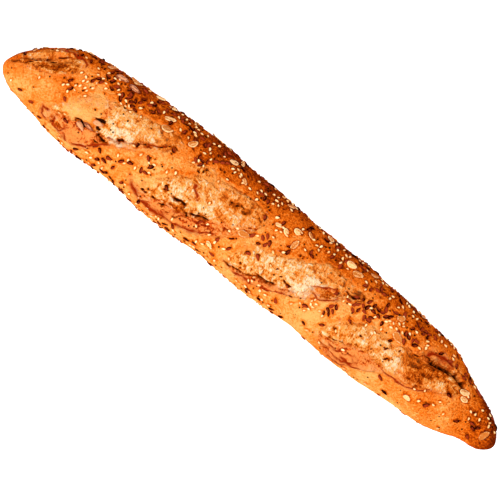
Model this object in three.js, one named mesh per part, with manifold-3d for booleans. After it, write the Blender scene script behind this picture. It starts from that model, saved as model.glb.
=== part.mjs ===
// Multigrain baguette: one hand-shaped loaf, 500 mm long, with five slanted slashes and its
// largest seeds and flakes baked onto the crust, all as one solid.
//
// Millimetres, +Z up. +X runs along the loaf, from the blunt end to the narrow nose, +Y is the
// back, and the loaf lies on its flat sole at z = 0.
//
// A place on the crust is (x, a): x is the station along the loaf, and a is the distance round
// the section from the ridge, positive towards the back.
import * as THREE from "three";
import { mergeVertices } from "three/addons/utils/BufferGeometryUtils.js";
import Module from "manifold-3d";

// ---------------------------------------------------------------- driving dimensions

const LENGTH = 500;
const HALF = LENGTH / 2;

// Outline in plan and from the side, by station: [x, back edge y, front edge y, ridge z, keel z].
const STATIONS = [
  [-250, -5, -29, 37, 7],
  [-232, 12, -30, 42, 4],
  [-208, 29.5, -34.5, 49, 1.5],
  [-184, 34.5, -39.8, 53, 0],
  [-166, 36, -41, 54.5, 0],
  [-150, 38, -39.5, 56, 0],
  [-122, 39, -39.5, 57, 0],
  [-99, 42.5, -41, 57, 0],
  [-60, 41, -41, 57, 0],
  [-34, 39.7, -38.8, 56.5, 0],
  [-15, 40, -41.2, 56, 0],
  [3, 39.3, -42, 56, 0],
  [34, 38.5, -39.5, 56, 0],
  [62, 39.3, -37.5, 55, 0],
  [78, 40.3, -38.6, 55, 0],
  [96, 37.5, -39.8, 55, 0],
  [142, 34.7, -38.2, 52, 0],
  [180, 30.6, -34.7, 47, 1],
  [203, 21, -30.6, 42, 3],
  [225, 13.4, -22.4, 35.5, 4.9],
  [237, 7, -21.4, 32, 6.3],
  [250, -2.5, -18.4, 29, 8],
];
const TIP_ROUND = { blunt: 18, nose: 10 }; // how far each end takes to round off, along x

// Cross-section: a superellipse, rounder above its widest line than below it.
const SHOULDER_POWER = 2.15;
const BELLY_POWER = 2.9;
const WIDEST_SHARE = 0.42; // height of the widest line, as a share of the section's height
const SOLE_CUT = 1.2; // how much of the belly the flat sole takes away
const NOMINAL = { halfWidth: 41, height: 56 }; // the section whose arc length sets a

// Slow swells of the crust: [height, mm of x per radian, mm of a per radian, phase].
const SWELLS = [
  [0.6, 23, 31, 0.6],
  [0.45, 14, -19, 2.1],
  [0.3, 9, 12, 4.4],
];

// Slashes, each cut from the front edge up over the ridge. from and to are (x, a). front and back
// are the distances from that line to the torn edges, and rift is where the deepest tear runs
// (positive towards the back), all at WIDTH_STEPS. ear is the height of the lifted front lip,
// rip the depth of the tear, crumb the swell of the torn crumb (negative for a hollow), and
// crack the depth of the tear along the back edge, all at HEIGHT_STEPS.
const WIDTH_STEPS = [0, 0.1, 0.3, 0.5, 0.7, 0.9, 1];
const HEIGHT_STEPS = [0, 0.2, 0.5, 0.8, 1];
const SLASHES = [
  {
    from: [-251, 0],
    to: [-197, 22],
    front: [0, 2.5, 7, 13.5, 14, 9, 0],
    back: [0, 1.5, 4, 7, 9, 8.5, 0],
    rift: [0, 0, -2, -3.5, -4, -2, 0],
    ear: [0, 0.6, 0.8, 0.6, 0],
    rip: [0.5, 1.5, 1.5, 1, 0],
    crumb: [-1.5, -3.5, -4, -3, 0],
    crack: [0.5, 1.5, 2, 1.5, 0],
  },
  {
    from: [-204, -27],
    to: [-89, 18],
    front: [0, 16, 23, 17.5, 13.5, 6, 0],
    back: [0, 6, 22, 18.5, 16, 10, 0],
    rift: [0, -2.5, -5.5, -14, -6.5, -4, 0],
    ear: [0.5, 2.4, 1.6, 1, 0],
    rip: [1, 3.5, 4.5, 4, 0.5],
    crumb: [0.3, 1.6, 2, 0.6, 0],
    crack: [0, 0.8, 0.5, 1, 0],
  },
  {
    from: [-112, -33],
    to: [0, 14],
    front: [0, 16, 23, 27.5, 22, 10, 0],
    back: [0, 5, 15.5, 22.5, 20.5, 10.5, 0],
    rift: [0, -7, -13, -15, -12, -6, 0],
    ear: [0.5, 2.6, 2.8, 1, 0],
    rip: [1.5, 5, 5, 1.5, 0.5],
    crumb: [0.3, 1.8, 2.4, 1.2, 0],
    crack: [0, 0.5, 0.8, 1.5, 0],
  },
  {
    from: [-17, -38],
    to: [104, 14],
    front: [0, 8.5, 13, 12, 8, 2.5, 0],
    back: [0, 11, 18, 19, 21.5, 7, 0],
    rift: [0, -3, -5, -9, -3, 0, 0],
    ear: [0.5, 2.2, 2, 1.8, 0],
    rip: [1.5, 4, 3.5, 5, 1],
    crumb: [0.3, 1.6, 2.2, 0.8, 0],
    crack: [0, 0.5, 0.5, 1.2, 0],
  },
  {
    from: [75, -38],
    to: [209, 16],
    front: [0, 16.5, 17, 11, 14.5, 7, 0],
    back: [0, 11.5, 22, 16.5, 12, 6.5, 0],
    rift: [0, -2, 0, -8, 4, 3.5, 0],
    ear: [0.5, 3, 2, 1.4, 0.3],
    rip: [1.5, 4.5, 4, 2.5, 0.5],
    crumb: [0.3, 1.8, 0.8, -4, 0],
    crack: [0, 0.5, 0.8, 3.6, 0.5],
  },
];
const EAR_OUTSIDE = 2.6; // how far the ear's face takes to drop onto the front crust
const EAR_INSIDE = { share: 0.45, least: 2 }; // and to slope down to the tear, of the band between
const RIFT_HALF = 3; // half-width of the tear
const CRACK_HALF = 2.4; // half-width of the tear along the back edge
const CRUMB_FULLNESS = 0.7; // power of the crumb's arch: the smaller, the flatter its top
const SLASH_END = 0.08; // share of a slash over which its relief fades in at each end
const TIP_CALM = 7; // the relief fades out over this length at each tip
const SOLE_CALM = 0.3; // and over this share of the half perimeter towards the sole

// Mesh of the bare loaf: rings along it, and sides round it, closer together over the top.
const RINGS = 80;
const SIDES = 40;
const TOP_CLOSENESS = 0.58; // spacing at the ridge, as a share of the mean spacing

// Toppings on the crust, largest first. size is [length, width, thickness]. set places the ones
// that stand out, each as [x, a, degrees round the crust's outward direction]. gathered says where
// others lie close together, as [x, a, reach along x, reach round, how many are tried], and more
// adds single ones at random, apart mm away from any other topping and only where a is over beyond.
const TOPPINGS = {
  kernel: {
    size: [10.5, 5.4, 3],
    sides: 6,
    rings: 4,
    point: 0.4,
    apart: 13,
    more: 3,
    beyond: 34,
    gathered: [],
    set: [
      [-159, -11.6, 8],
      [-163.6, -17.9, -12],
      [-169, -21.2, -22],
      [-167, 34, 4],
      [-154, 31.5, -8],
    ],
  },
  flake: {
    size: [8.6, 5.2, 1.8],
    sides: 6,
    rings: 4,
    point: 0.1,
    apart: 11,
    more: 8,
    beyond: 34,
    gathered: [],
    set: [
      [-116.7, 29, 12],
      [-113.8, 19, 28],
      [-90, 21.5, 60],
      [-39, 26.5, -38],
      [-13.7, -8.4, 20],
      [-30.2, -36, 0],
      [4.1, 16, 20],
      [12.6, 15, -20],
      [19.5, 21.7, 20],
      [23.8, 11, 80],
      [29.2, 27, -30],
      [69.3, 28.6, 10],
      [77.8, 24.8, 30],
      [133.9, 6.2, -20],
      [127, 21, 35],
      [170, -27, -20],
      [207, 6, 10],
      [203.8, 11, 40],
      [238, -3.5, 80],
    ],
  },
  flax: {
    size: [5, 2.6, 1.6],
    sides: 5,
    rings: 3,
    point: 0.35,
    apart: 8.5,
    more: 40,
    beyond: -100,
    gathered: [
      [92, 6, 9, 4, 6],
      [104, 10, 9, 5, 8],
      [-152, 18, 6, 5, 4],
    ],
    set: [
      [2.6, 2.8, -55],
      [0.4, -0.6, -40],
      [7.5, -0.6, -60],
      [5.3, -3.4, 80],
      [0.6, -6.2, 25],
      [-7.4, -4.2, 70],
      [6.9, -14.6, -40],
      [-0.6, -17, 20],
      [23, 3, 80],
      [-15.4, -25, 70],
      [77.3, -10.5, 60],
      [80.6, -13.2, -35],
      [79.4, -17.2, -55],
      [60.7, -24, 10],
      [80.7, -27.5, 35],
      [96, -8.6, -30],
      [143.6, -28.8, -30],
      [195.1, -0.5, 5],
      [224.4, -5.5, 10],
      [227.2, -8, -10],
      [230.2, -4, 50],
      [-126, -25.5, 60],
      [-119.5, -22, 15],
      [-105.2, -20.7, 0],
      [-128.2, -35, 80],
      [-135, -31, 20],
      [-137.3, -36, -10],
      [-124.7, -48, -30],
      [-192.2, -12, -30],
      [-180.8, -25.5, -10],
      [-144.8, -30.8, -50],
      [-135.6, -30.5, 10],
      [-137.8, -35.5, -15],
    ],
  },
};
const SINK = 0.12; // how deep a topping's middle lies under the crust, as a share of its thickness
const CLOSE = 4.4; // least distance between the middles of gathered toppings

// How welcome a topping is, from 0 to 1: most on the back, fewer on the front, few where the
// front stayed bare, and nearly none on torn crumb, which opened after the dough was seeded.
const WELCOME = { back: 1, front: 0.5, bare: 0.12, torn: 0.04 };
const SEEDED = { back: 0.68, front: -0.6 }; // toppings lie between these shares of the half perimeter
const FRONT_SEEDED = { from: -205, to: 40 }; // the front is bare before and after these stations
const BACK_FROM = 0.1; // share of the half perimeter where the back begins
const BARE_TIP = 12; // length at each tip without random toppings
const RANDOM_START = 20251;

// ---------------------------------------------------------------- small mathematics

const clamp = THREE.MathUtils.clamp;
const smooth = (t) => clamp(t, 0, 1) ** 2 * (3 - 2 * clamp(t, 0, 1));
const bell = (t) => Math.exp(-t * t);

// A smooth curve through the points (xs[i], ys[i]), read at x.
function through(xs, ys, x) {
  const last = xs.length - 1;
  let i = 0;
  while (i < last - 1 && x > xs[i + 1]) i += 1;
  const slope = (k) => (ys[k + 1] - ys[k]) / (xs[k + 1] - xs[k]);
  const tangent = (k) => {
    if (k === 0) return slope(0);
    if (k === last) return slope(last - 1);
    const before = xs[k] - xs[k - 1];
    const after = xs[k + 1] - xs[k];
    return (slope(k - 1) * after + slope(k) * before) / (before + after);
  };
  const h = xs[i + 1] - xs[i];
  const t = (x - xs[i]) / h;
  return (
    (2 * t ** 3 - 3 * t ** 2 + 1) * ys[i] +
    (t ** 3 - 2 * t ** 2 + t) * h * tangent(i) +
    (3 * t ** 2 - 2 * t ** 3) * ys[i + 1] +
    (t ** 3 - t ** 2) * h * tangent(i + 1)
  );
}

// The same draws in the same order every time, each from 0 to 1.
function randomDraws(seed) {
  let state = seed;
  return () => {
    state = (Math.imul(state, 1664525) + 1013904223) >>> 0;
    return state / 2 ** 32;
  };
}

// ---------------------------------------------------------------- the plain loaf

const column = (k) => STATIONS.map((row) => row[k]);
const [STATION_X, BACK_Y, FRONT_Y, RIDGE_Z, KEEL_Z] = [0, 1, 2, 3, 4].map(column);

// The unit section at an angle from the ridge: y from 0 to 1, and z as a share of the height.
function unitSection(angle) {
  const side = Math.sin(angle);
  const up = Math.cos(angle);
  const power = up >= 0 ? SHOULDER_POWER : BELLY_POWER;
  const reach = up >= 0 ? 1 - WIDEST_SHARE : -WIDEST_SHARE;
  return [Math.abs(side) ** (2 / power), WIDEST_SHARE + reach * Math.abs(up) ** (2 / power)];
}

// Distance round the nominal section from its ridge to each angle.
const ARC_STEPS = 720;
const ARC = [0];
for (let i = 1; i <= ARC_STEPS; i += 1) {
  const [y0, z0] = unitSection(((i - 1) * Math.PI) / ARC_STEPS);
  const [y1, z1] = unitSection((i * Math.PI) / ARC_STEPS);
  ARC.push(ARC[i - 1] + Math.hypot((y1 - y0) * NOMINAL.halfWidth, (z1 - z0) * NOMINAL.height));
}
const NOMINAL_ARC = ARC[ARC_STEPS];

// The angle at a share of the way round, from 0 at the ridge to 1 at the keel.
function angleAt(share) {
  const target = share * NOMINAL_ARC;
  let low = 0;
  let high = ARC_STEPS;
  while (high - low > 1) {
    const middle = (low + high) >> 1;
    if (ARC[middle] <= target) low = middle;
    else high = middle;
  }
  const part = (target - ARC[low]) / (ARC[high] - ARC[low]);
  return ((low + clamp(part, 0, 1)) * Math.PI) / ARC_STEPS;
}

// How much of the section is left where an end rounds off.
function tipScale(x) {
  const reach = x < 0 ? TIP_ROUND.blunt : TIP_ROUND.nose;
  const missing = clamp(1 - (HALF - Math.abs(x)) / reach, 0, 1);
  return Math.sqrt(1 - missing ** 2);
}

function halfPerimeter(x) {
  const halfWidth = (through(STATION_X, BACK_Y, x) - through(STATION_X, FRONT_Y, x)) / 2;
  const height = through(STATION_X, RIDGE_Z, x) - through(STATION_X, KEEL_Z, x);
  const size = (halfWidth / NOMINAL.halfWidth + height / NOMINAL.height) / 2;
  return NOMINAL_ARC * size * tipScale(x);
}

// A point of the loaf before it is slashed. share runs from -1 at the keel, by the front, over
// 0 at the ridge, to 1 at the keel again.
function plainPoint(x, share) {
  const [side, up] = unitSection(angleAt(Math.abs(share)));
  const back = through(STATION_X, BACK_Y, x);
  const front = through(STATION_X, FRONT_Y, x);
  const ridge = through(STATION_X, RIDGE_Z, x);
  const keel = through(STATION_X, KEEL_Z, x);
  const tip = tipScale(x);
  const y = (back + front) / 2 + (Math.sign(share) * side * tip * (back - front)) / 2;
  const z = (ridge + keel) / 2 + (up - 0.5) * (ridge - keel) * tip;
  return new THREE.Vector3(x, y, z - SOLE_CUT);
}

// The outward direction there, from two short steps along and round the loaf.
function outward(x, share) {
  const stepX = 0.5;
  const stepShare = 0.004;
  const inside = clamp(x, 1.1 * stepX - HALF, HALF - 1.1 * stepX);
  const along = plainPoint(inside + stepX, share).sub(plainPoint(inside - stepX, share));
  const round = plainPoint(inside, share + stepShare).sub(plainPoint(inside, share - stepShare));
  return round.cross(along).negate().normalize();
}

// ---------------------------------------------------------------- slashes

for (const slash of SLASHES) {
  slash.length = Math.hypot(slash.to[0] - slash.from[0], slash.to[1] - slash.from[1]);
  slash.run = [0, 1].map((k) => (slash.to[k] - slash.from[k]) / slash.length);
}

// Where (x, a) lies on a slash: v from 0 to 1 along it, across in mm towards the back.
function onSlash(slash, x, a) {
  const dx = x - slash.from[0];
  const da = a - slash.from[1];
  const v = (dx * slash.run[0] + da * slash.run[1]) / slash.length;
  return [v, da * slash.run[0] - dx * slash.run[1]];
}

function slashHeight(slash, x, a) {
  const [v, across] = onSlash(slash, x, a);
  if (v <= 0 || v >= 1) return 0;
  const width = (widths) => through(WIDTH_STEPS, widths, v);
  const tall = (heights) => through(HEIGHT_STEPS, heights, v);
  const [front, back, rift] = [slash.front, slash.back, slash.rift].map(width);
  const [ear, rip, crumb, crack] = [slash.ear, slash.rip, slash.crumb, slash.crack].map(tall);
  const fade = smooth(v / SLASH_END) * smooth((1 - v) / SLASH_END);
  const band = Math.max((front + rift) * EAR_INSIDE.share, EAR_INSIDE.least);
  const earAt = across + front;
  const lip = ear * bell(earAt / (earAt < 0 ? EAR_OUTSIDE : band));
  const tear = -rip * bell((across - rift) / RIFT_HALF);
  const part = clamp((across - rift) / Math.max(back - rift, 1), 0, 1);
  const swell = crumb * (4 * part * (1 - part)) ** CRUMB_FULLNESS;
  const split = -crack * bell((across - back + CRACK_HALF) / CRACK_HALF);
  return fade * (lip + tear + swell + split);
}

// Height of the real crust over the plain loaf at (x, a).
function relief(x, a) {
  const swells = SWELLS.reduce(
    (sum, [height, alongX, round, phase]) => sum + height * Math.sin(x / alongX + a / round + phase),
    0,
  );
  const slashes = SLASHES.reduce((sum, slash) => sum + slashHeight(slash, x, a), 0);
  return (swells + slashes) * smooth((HALF - Math.abs(x)) / TIP_CALM);
}

function crustPoint(x, share) {
  const height = relief(x, share * halfPerimeter(x)) * smooth((1 - Math.abs(share)) / SOLE_CALM);
  const point = plainPoint(x, share).addScaledVector(outward(x, share), height);
  point.z = Math.max(point.z, 0);
  return point;
}

// ---------------------------------------------------------------- geometry

// Station of a ring: even along the loaf, then closing up round the blunt end and the nose.
function ringX(part) {
  const signed = 2 * part - 1;
  const cap = signed < 0 ? TIP_ROUND.blunt : TIP_ROUND.nose;
  const straight = HALF - cap;
  const turn = straight / (straight + (cap * Math.PI) / 2);
  const e = Math.abs(signed);
  const bend = ((e - turn) / (1 - turn)) * (Math.PI / 2);
  const x = e < turn ? (straight * e) / turn : straight + cap * Math.sin(bend);
  return Math.sign(signed) * x;
}

// Share of the way round at part p of it, both from -1 to 1, with closer steps over the top.
const roundShare = (p) => p * (TOP_CLOSENESS + (1 - TOP_CLOSENESS) * p * p);

// A sphere drawn out into the loaf: its poles become the two tips.
function loafGeometry() {
  const sphere = new THREE.SphereGeometry(1, SIDES, RINGS);
  const position = sphere.getAttribute("position");
  const columns = SIDES + 1;
  for (let i = 0; i < position.count; i += 1) {
    const x = ringX(Math.floor(i / columns) / RINGS);
    const share = roundShare((2 * (i % columns)) / SIDES - 1);
    const point = tipScale(x) > 0 ? crustPoint(x, share) : plainPoint(x, 0);
    position.setXYZ(i, point.x, point.y, point.z);
  }
  return sphere;
}

// A seed lying along X with its flat side down, pointed at one end.
function seedGeometry({ size, sides, rings, point }) {
  const seed = new THREE.SphereGeometry(0.5, sides, rings);
  seed.rotateZ(-Math.PI / 2);
  const position = seed.getAttribute("position");
  for (let i = 0; i < position.count; i += 1) {
    const along = position.getX(i);
    const narrow = 1 - point * 2 * along;
    position.setXYZ(i, along * size[0], position.getY(i) * narrow * size[1], position.getZ(i) * size[2]);
  }
  return seed;
}

// Moves a seed onto the crust at (x, a), turned by an angle round the outward direction.
function settle(seed, topping, [x, a, degrees]) {
  const share = a / halfPerimeter(x);
  const up = outward(x, share);
  const along = new THREE.Vector3(1, 0, 0).projectOnPlane(up).normalize();
  along.applyAxisAngle(up, THREE.MathUtils.degToRad(degrees));
  const across = new THREE.Vector3().crossVectors(up, along);
  const centre = crustPoint(x, share).addScaledVector(up, -SINK * topping.size[2]);
  return seed.applyMatrix4(new THREE.Matrix4().makeBasis(along, across, up).setPosition(centre));
}

function welcomeAt(x, a) {
  const share = a / halfPerimeter(x);
  if (share > SEEDED.back || share < SEEDED.front) return 0;
  const torn = SLASHES.some((slash) => {
    const [v, across] = onSlash(slash, x, a);
    if (v <= 0 || v >= 1) return false;
    const front = through(WIDTH_STEPS, slash.front, v);
    return across > -front && across < through(WIDTH_STEPS, slash.back, v);
  });
  if (torn) return WELCOME.torn;
  if (share > BACK_FROM) return WELCOME.back;
  return x > FRONT_SEEDED.from && x < FRONT_SEEDED.to ? WELCOME.front : WELCOME.bare;
}

// Places for every topping: the set ones first, then for each kind those that gather, and then
// single ones clear of each other.
function toppingPlaces() {
  const draw = randomDraws(RANDOM_START);
  const kinds = Object.values(TOPPINGS);
  const places = kinds.flatMap((topping) => topping.set.map((spot) => ({ topping, spot })));
  const clear = (x, a, apart) => places.every(({ spot }) => Math.hypot(spot[0] - x, spot[1] - a) > apart);
  for (const topping of kinds) {
    for (const [middleX, middleA, reachX, reachA, tries] of topping.gathered) {
      for (let k = 0; k < tries; k += 1) {
        const x = middleX + (2 * draw() - 1) * reachX;
        const a = middleA + (2 * draw() - 1) * reachA;
        const degrees = 360 * draw();
        if (clear(x, a, CLOSE)) places.push({ topping, spot: [x, a, degrees] });
      }
    }
    let wanted = topping.more;
    while (wanted > 0) {
      const x = (2 * draw() - 1) * (HALF - BARE_TIP);
      const a = (2 * draw() - 1) * NOMINAL_ARC;
      const degrees = 360 * draw();
      const welcome = draw() < welcomeAt(x, a) && a > topping.beyond;
      if (welcome && clear(x, a, topping.apart)) {
        places.push({ topping, spot: [x, a, degrees] });
        wanted -= 1;
      }
    }
  }
  return places;
}

// ---------------------------------------------------------------- joining

const MERGE_WITHIN = 1e-4;
const wasm = await Module();
wasm.setup();

// A closed geometry as a solid: its seams and poles merged, and what collapsed there dropped.
function solid(geometry) {
  geometry.deleteAttribute("normal");
  geometry.deleteAttribute("uv");
  const merged = mergeVertices(geometry, MERGE_WITHIN);
  const corners = merged.index.array;
  const kept = [];
  for (let i = 0; i < corners.length; i += 3) {
    const [p, q, r] = [corners[i], corners[i + 1], corners[i + 2]];
    if (p !== q && q !== r && r !== p) kept.push(p, q, r);
  }
  return new wasm.Manifold(
    new wasm.Mesh({
      numProp: 3,
      vertProperties: merged.getAttribute("position").array,
      triVerts: new Uint32Array(kept),
    }),
  );
}

function geometryOf(manifold) {
  const { vertProperties, triVerts } = manifold.getMesh();
  const geometry = new THREE.BufferGeometry();
  geometry.setAttribute("position", new THREE.BufferAttribute(vertProperties, 3));
  geometry.setIndex(new THREE.BufferAttribute(triVerts, 1));
  geometry.computeVertexNormals();
  return geometry;
}

let joined = solid(loafGeometry());
for (const { topping, spot } of toppingPlaces()) {
  joined = joined.add(solid(settle(seedGeometry(topping), topping, spot)));
}

const crust = new THREE.MeshStandardMaterial({ color: 0xd9823c, roughness: 0.62, metalness: 0 });
const loaf = new THREE.Mesh(geometryOf(joined), crust);
loaf.name = "loaf";

const baguette = new THREE.Group();
baguette.add(loaf);

export default baguette;
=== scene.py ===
"""Multigrain baguette: a slashed loaf with torn crumb, and seeds and cereal flakes on its crust.

Sizes are in millimetres until a mesh is written, which is in metres. +X runs along the loaf from
the blunt end to the nose, +Y is the back, and the loaf lies on its sole at z = 0. A place on the
crust is (x, a): a is the distance round the section from the ridge, positive towards the back.
"""

import functools
import math

import bmesh
import bpy
import numpy as np
from bpy.props import FloatProperty, FloatVectorProperty, IntProperty, PointerProperty
from mathutils import Matrix, Vector


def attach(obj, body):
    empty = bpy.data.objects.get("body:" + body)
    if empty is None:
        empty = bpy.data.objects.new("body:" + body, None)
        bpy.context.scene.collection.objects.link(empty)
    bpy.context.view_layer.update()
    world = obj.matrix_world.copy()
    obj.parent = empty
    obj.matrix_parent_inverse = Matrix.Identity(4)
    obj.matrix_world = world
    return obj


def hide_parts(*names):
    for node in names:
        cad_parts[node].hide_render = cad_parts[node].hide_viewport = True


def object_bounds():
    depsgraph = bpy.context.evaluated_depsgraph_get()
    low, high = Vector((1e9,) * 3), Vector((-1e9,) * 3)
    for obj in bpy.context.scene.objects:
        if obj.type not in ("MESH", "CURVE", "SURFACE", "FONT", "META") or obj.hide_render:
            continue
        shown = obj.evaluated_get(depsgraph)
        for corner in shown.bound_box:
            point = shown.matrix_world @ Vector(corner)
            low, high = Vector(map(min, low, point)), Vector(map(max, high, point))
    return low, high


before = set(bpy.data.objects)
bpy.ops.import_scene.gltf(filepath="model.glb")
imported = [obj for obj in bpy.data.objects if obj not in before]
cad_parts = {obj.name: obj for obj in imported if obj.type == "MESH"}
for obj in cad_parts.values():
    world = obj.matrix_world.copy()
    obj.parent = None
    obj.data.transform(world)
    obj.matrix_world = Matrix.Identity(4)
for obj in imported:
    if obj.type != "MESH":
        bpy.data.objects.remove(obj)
CAD_BOX = [list(corner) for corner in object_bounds()]

bl_info = {
    "name": "Multigrain baguette",
    "version": (1, 0, 0),
    "blender": (4, 5, 0),
    "location": "View3D > Sidebar > Baguette",
    "description": "Builds a seeded, slashed baguette over its packed solid",
    "category": "Add Mesh",
}

MM = 0.001
LENGTH = (CAD_BOX[1][0] - CAD_BOX[0][0]) / MM
HALF = LENGTH / 2

# ---------- form of the loaf

# [x, back edge y, front edge y, ridge z, keel z] at each station
STATIONS = np.array(
    [
        [-250, -5, -29, 37, 7], [-232, 12, -30, 42, 4], [-208, 29.5, -34.5, 49, 1.5],
        [-184, 34.5, -39.8, 53, 0], [-166, 36, -41, 54.5, 0], [-150, 38, -39.5, 56, 0],
        [-122, 39, -39.5, 57, 0], [-99, 42.5, -41, 57, 0], [-60, 41, -41, 57, 0],
        [-34, 39.7, -38.8, 56.5, 0], [-15, 40, -41.2, 56, 0], [3, 39.3, -42, 56, 0],
        [34, 38.5, -39.5, 56, 0], [62, 39.3, -37.5, 55, 0], [78, 40.3, -38.6, 55, 0],
        [96, 37.5, -39.8, 55, 0], [142, 34.7, -38.2, 52, 0], [180, 30.6, -34.7, 47, 1],
        [203, 21, -30.6, 42, 3], [225, 13.4, -22.4, 35.5, 4.9], [237, 7, -21.4, 32, 6.3],
        [250, -2.5, -18.4, 29, 8],
    ]
)
TIP_BLUNT = 18
TIP_NOSE = 10
SHOULDER_POWER = 2.15
BELLY_POWER = 2.9
WIDEST_SHARE = 0.42
SOLE_CUT = 1.2
NOMINAL_HALF_WIDTH = 41
NOMINAL_HEIGHT = 56
SWELLS = [(0.6, 23, 31, 0.6), (0.45, 14, -19, 2.1), (0.3, 9, 12, 4.4)]
TIP_CALM = 7
SOLE_CALM = 0.3

WIDTH_STEPS = [0, 0.1, 0.3, 0.5, 0.7, 0.9, 1]
HEIGHT_STEPS = [0, 0.2, 0.5, 0.8, 1]
# Each row has one entry for each slash, from the blunt end on. front, back and rift are mm across it,
# at WIDTH_STEPS along it. The heights are mm at HEIGHT_STEPS, and so are three shares: umber is how
# brown the torn crumb baked, pale how floury it stayed, and blush how red the ear is. open is how
# open the rift is, at tenths of the length.
SLASH_TABLE = {
    "start": [(-251, 0), (-204, -27), (-112, -33), (-17, -38), (75, -38)],
    "stop": [(-197, 22), (-89, 18), (0, 14), (104, 14), (209, 16)],
    "front": [
        [0, 2.5, 7, 13.5, 14, 9, 0], [0, 16, 23, 17.5, 13.5, 6, 0], [0, 16, 23, 27.5, 22, 10, 0],
        [0, 8.5, 13, 12, 8, 2.5, 0], [0, 16.5, 17, 11, 14.5, 7, 0],
    ],
    "back": [
        [0, 1.5, 4, 7, 9, 8.5, 0], [0, 6, 22, 18.5, 16, 10, 0], [0, 5, 15.5, 22.5, 20.5, 10.5, 0],
        [0, 11, 18, 19, 21.5, 7, 0], [0, 11.5, 22, 16.5, 12, 6.5, 0],
    ],
    "rift": [
        [0, 0, -2, -3.5, -4, -2, 0], [0, -2.5, -5.5, -14, -6.5, -4, 0], [0, -7, -13, -15, -12, -6, 0],
        [0, -3, -5, -9, -3, 0, 0], [0, -2, 0, -8, 4, 3.5, 0],
    ],
    "ear": [
        [0, 0.6, 0.8, 0.6, 0], [0.5, 2.4, 1.6, 1, 0], [0.5, 2.6, 2.8, 1, 0], [0.5, 2.2, 2, 1.8, 0],
        [0.5, 3, 2, 1.4, 0.3],
    ],
    "rip": [
        [0.5, 1.5, 1.5, 1, 0], [1, 3.5, 4.5, 4, 0.5], [1.5, 5, 5, 1.5, 0.5], [1.5, 4, 3.5, 5, 1],
        [1.5, 4.5, 4, 2.5, 0.5],
    ],
    "crumb": [
        [-1.5, -3.5, -4, -3, 0], [0.3, 1.6, 2, 0.6, 0], [0.3, 1.8, 2.4, 1.2, 0], [0.3, 1.6, 2.2, 0.8, 0],
        [0.3, 1.8, 0.8, -4, 0],
    ],
    "crack": [
        [0.5, 1.5, 2, 1.5, 0], [0, 0.8, 0.5, 1, 0], [0, 0.5, 0.8, 1.5, 0], [0, 0.5, 0.5, 1.2, 0],
        [0, 0.5, 0.8, 3.6, 0.5],
    ],
    "umber": [
        [0.7, 0.6, 0.5, 0.5, 0.4], [0.3, 0, 0, 0.3, 0.6], [0.2, 0, 0.1, 0.45, 0.4], [0.1, 0, 0, 0.5, 0.8],
        [0.1, 0, 0.2, 0.9, 1],
    ],
    "pale": [
        [0, 0, 0, 0, 0], [0.3, 0.6, 0.6, 0.3, 0], [0.3, 0.5, 0.5, 0.6, 0.3], [0.5, 0.8, 1, 1, 0],
        [0.1, 0.35, 0.8, 0.1, 0],
    ],
    "blush": [
        [0.3, 0.2, 0.1, 0.1, 0], [0.5, 1, 0.8, 0.5, 0.2], [0.6, 1, 1, 0.6, 0.2], [0.4, 1, 0.8, 0.3, 0],
        [0.5, 1, 0.7, 0.1, 0.1],
    ],
    "open": [
        [0, 0, 0, 0, 0.1, 0.1, 0.1, 0, 0, 0, 0], [0.1, 0.2, 0.3, 0.2, 0.35, 0.4, 0.3, 0.3, 0.3, 0.2, 0.1],
        [0.1, 0.1, 0.1, 0.2, 0.25, 0.35, 0.2, 0.1, 0.1, 0.1, 0],
        [0.2, 0.3, 0.3, 0.4, 0.3, 0.2, 0.2, 0.2, 0.2, 0.1, 0],
        [0.1, 0.2, 0.25, 0.25, 0.15, 0.1, 0.1, 0, 0, 0, 0],
    ],
}
SLASHES = [dict(zip(SLASH_TABLE, entries)) for entries in zip(*SLASH_TABLE.values())]
OPEN_STEPS = np.linspace(0, 1, 11)
EAR_OUTSIDE = 1.2
EAR_BAND_SHARE = 0.45
EAR_BAND_LEAST = 2
RIFT_HALF = 1.2
CRACK_HALF = 2.2
CRUMB_FULLNESS = 0.7
SLASH_END = 0.08
SLASH_MARGIN = 0.06
SLASH_REACH = 42

# Fine relief of the torn crumb, the ears and the skin, in mm.
EDGE_WANDER = 1.2
FEATURE_WANDER = 1.1
LIP_UNDERCUT = 0.35
FOLD_HEIGHT = 0.75
WRINKLE_HEIGHT = 0.35
LUMP_HEIGHT = 0.9
FIBRE_HEIGHT = 0.4
CRUMB_HEIGHT = 0.35
CREASE_DEPTH = 0.4
RIM_HEIGHT = 0.35
RIM_OVER_CRACK = 0.25
SKIN_ROUGHNESS = 0.14
SKIN_WAVES = 0.4
BLISTER_HEIGHT = 0.22

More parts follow.
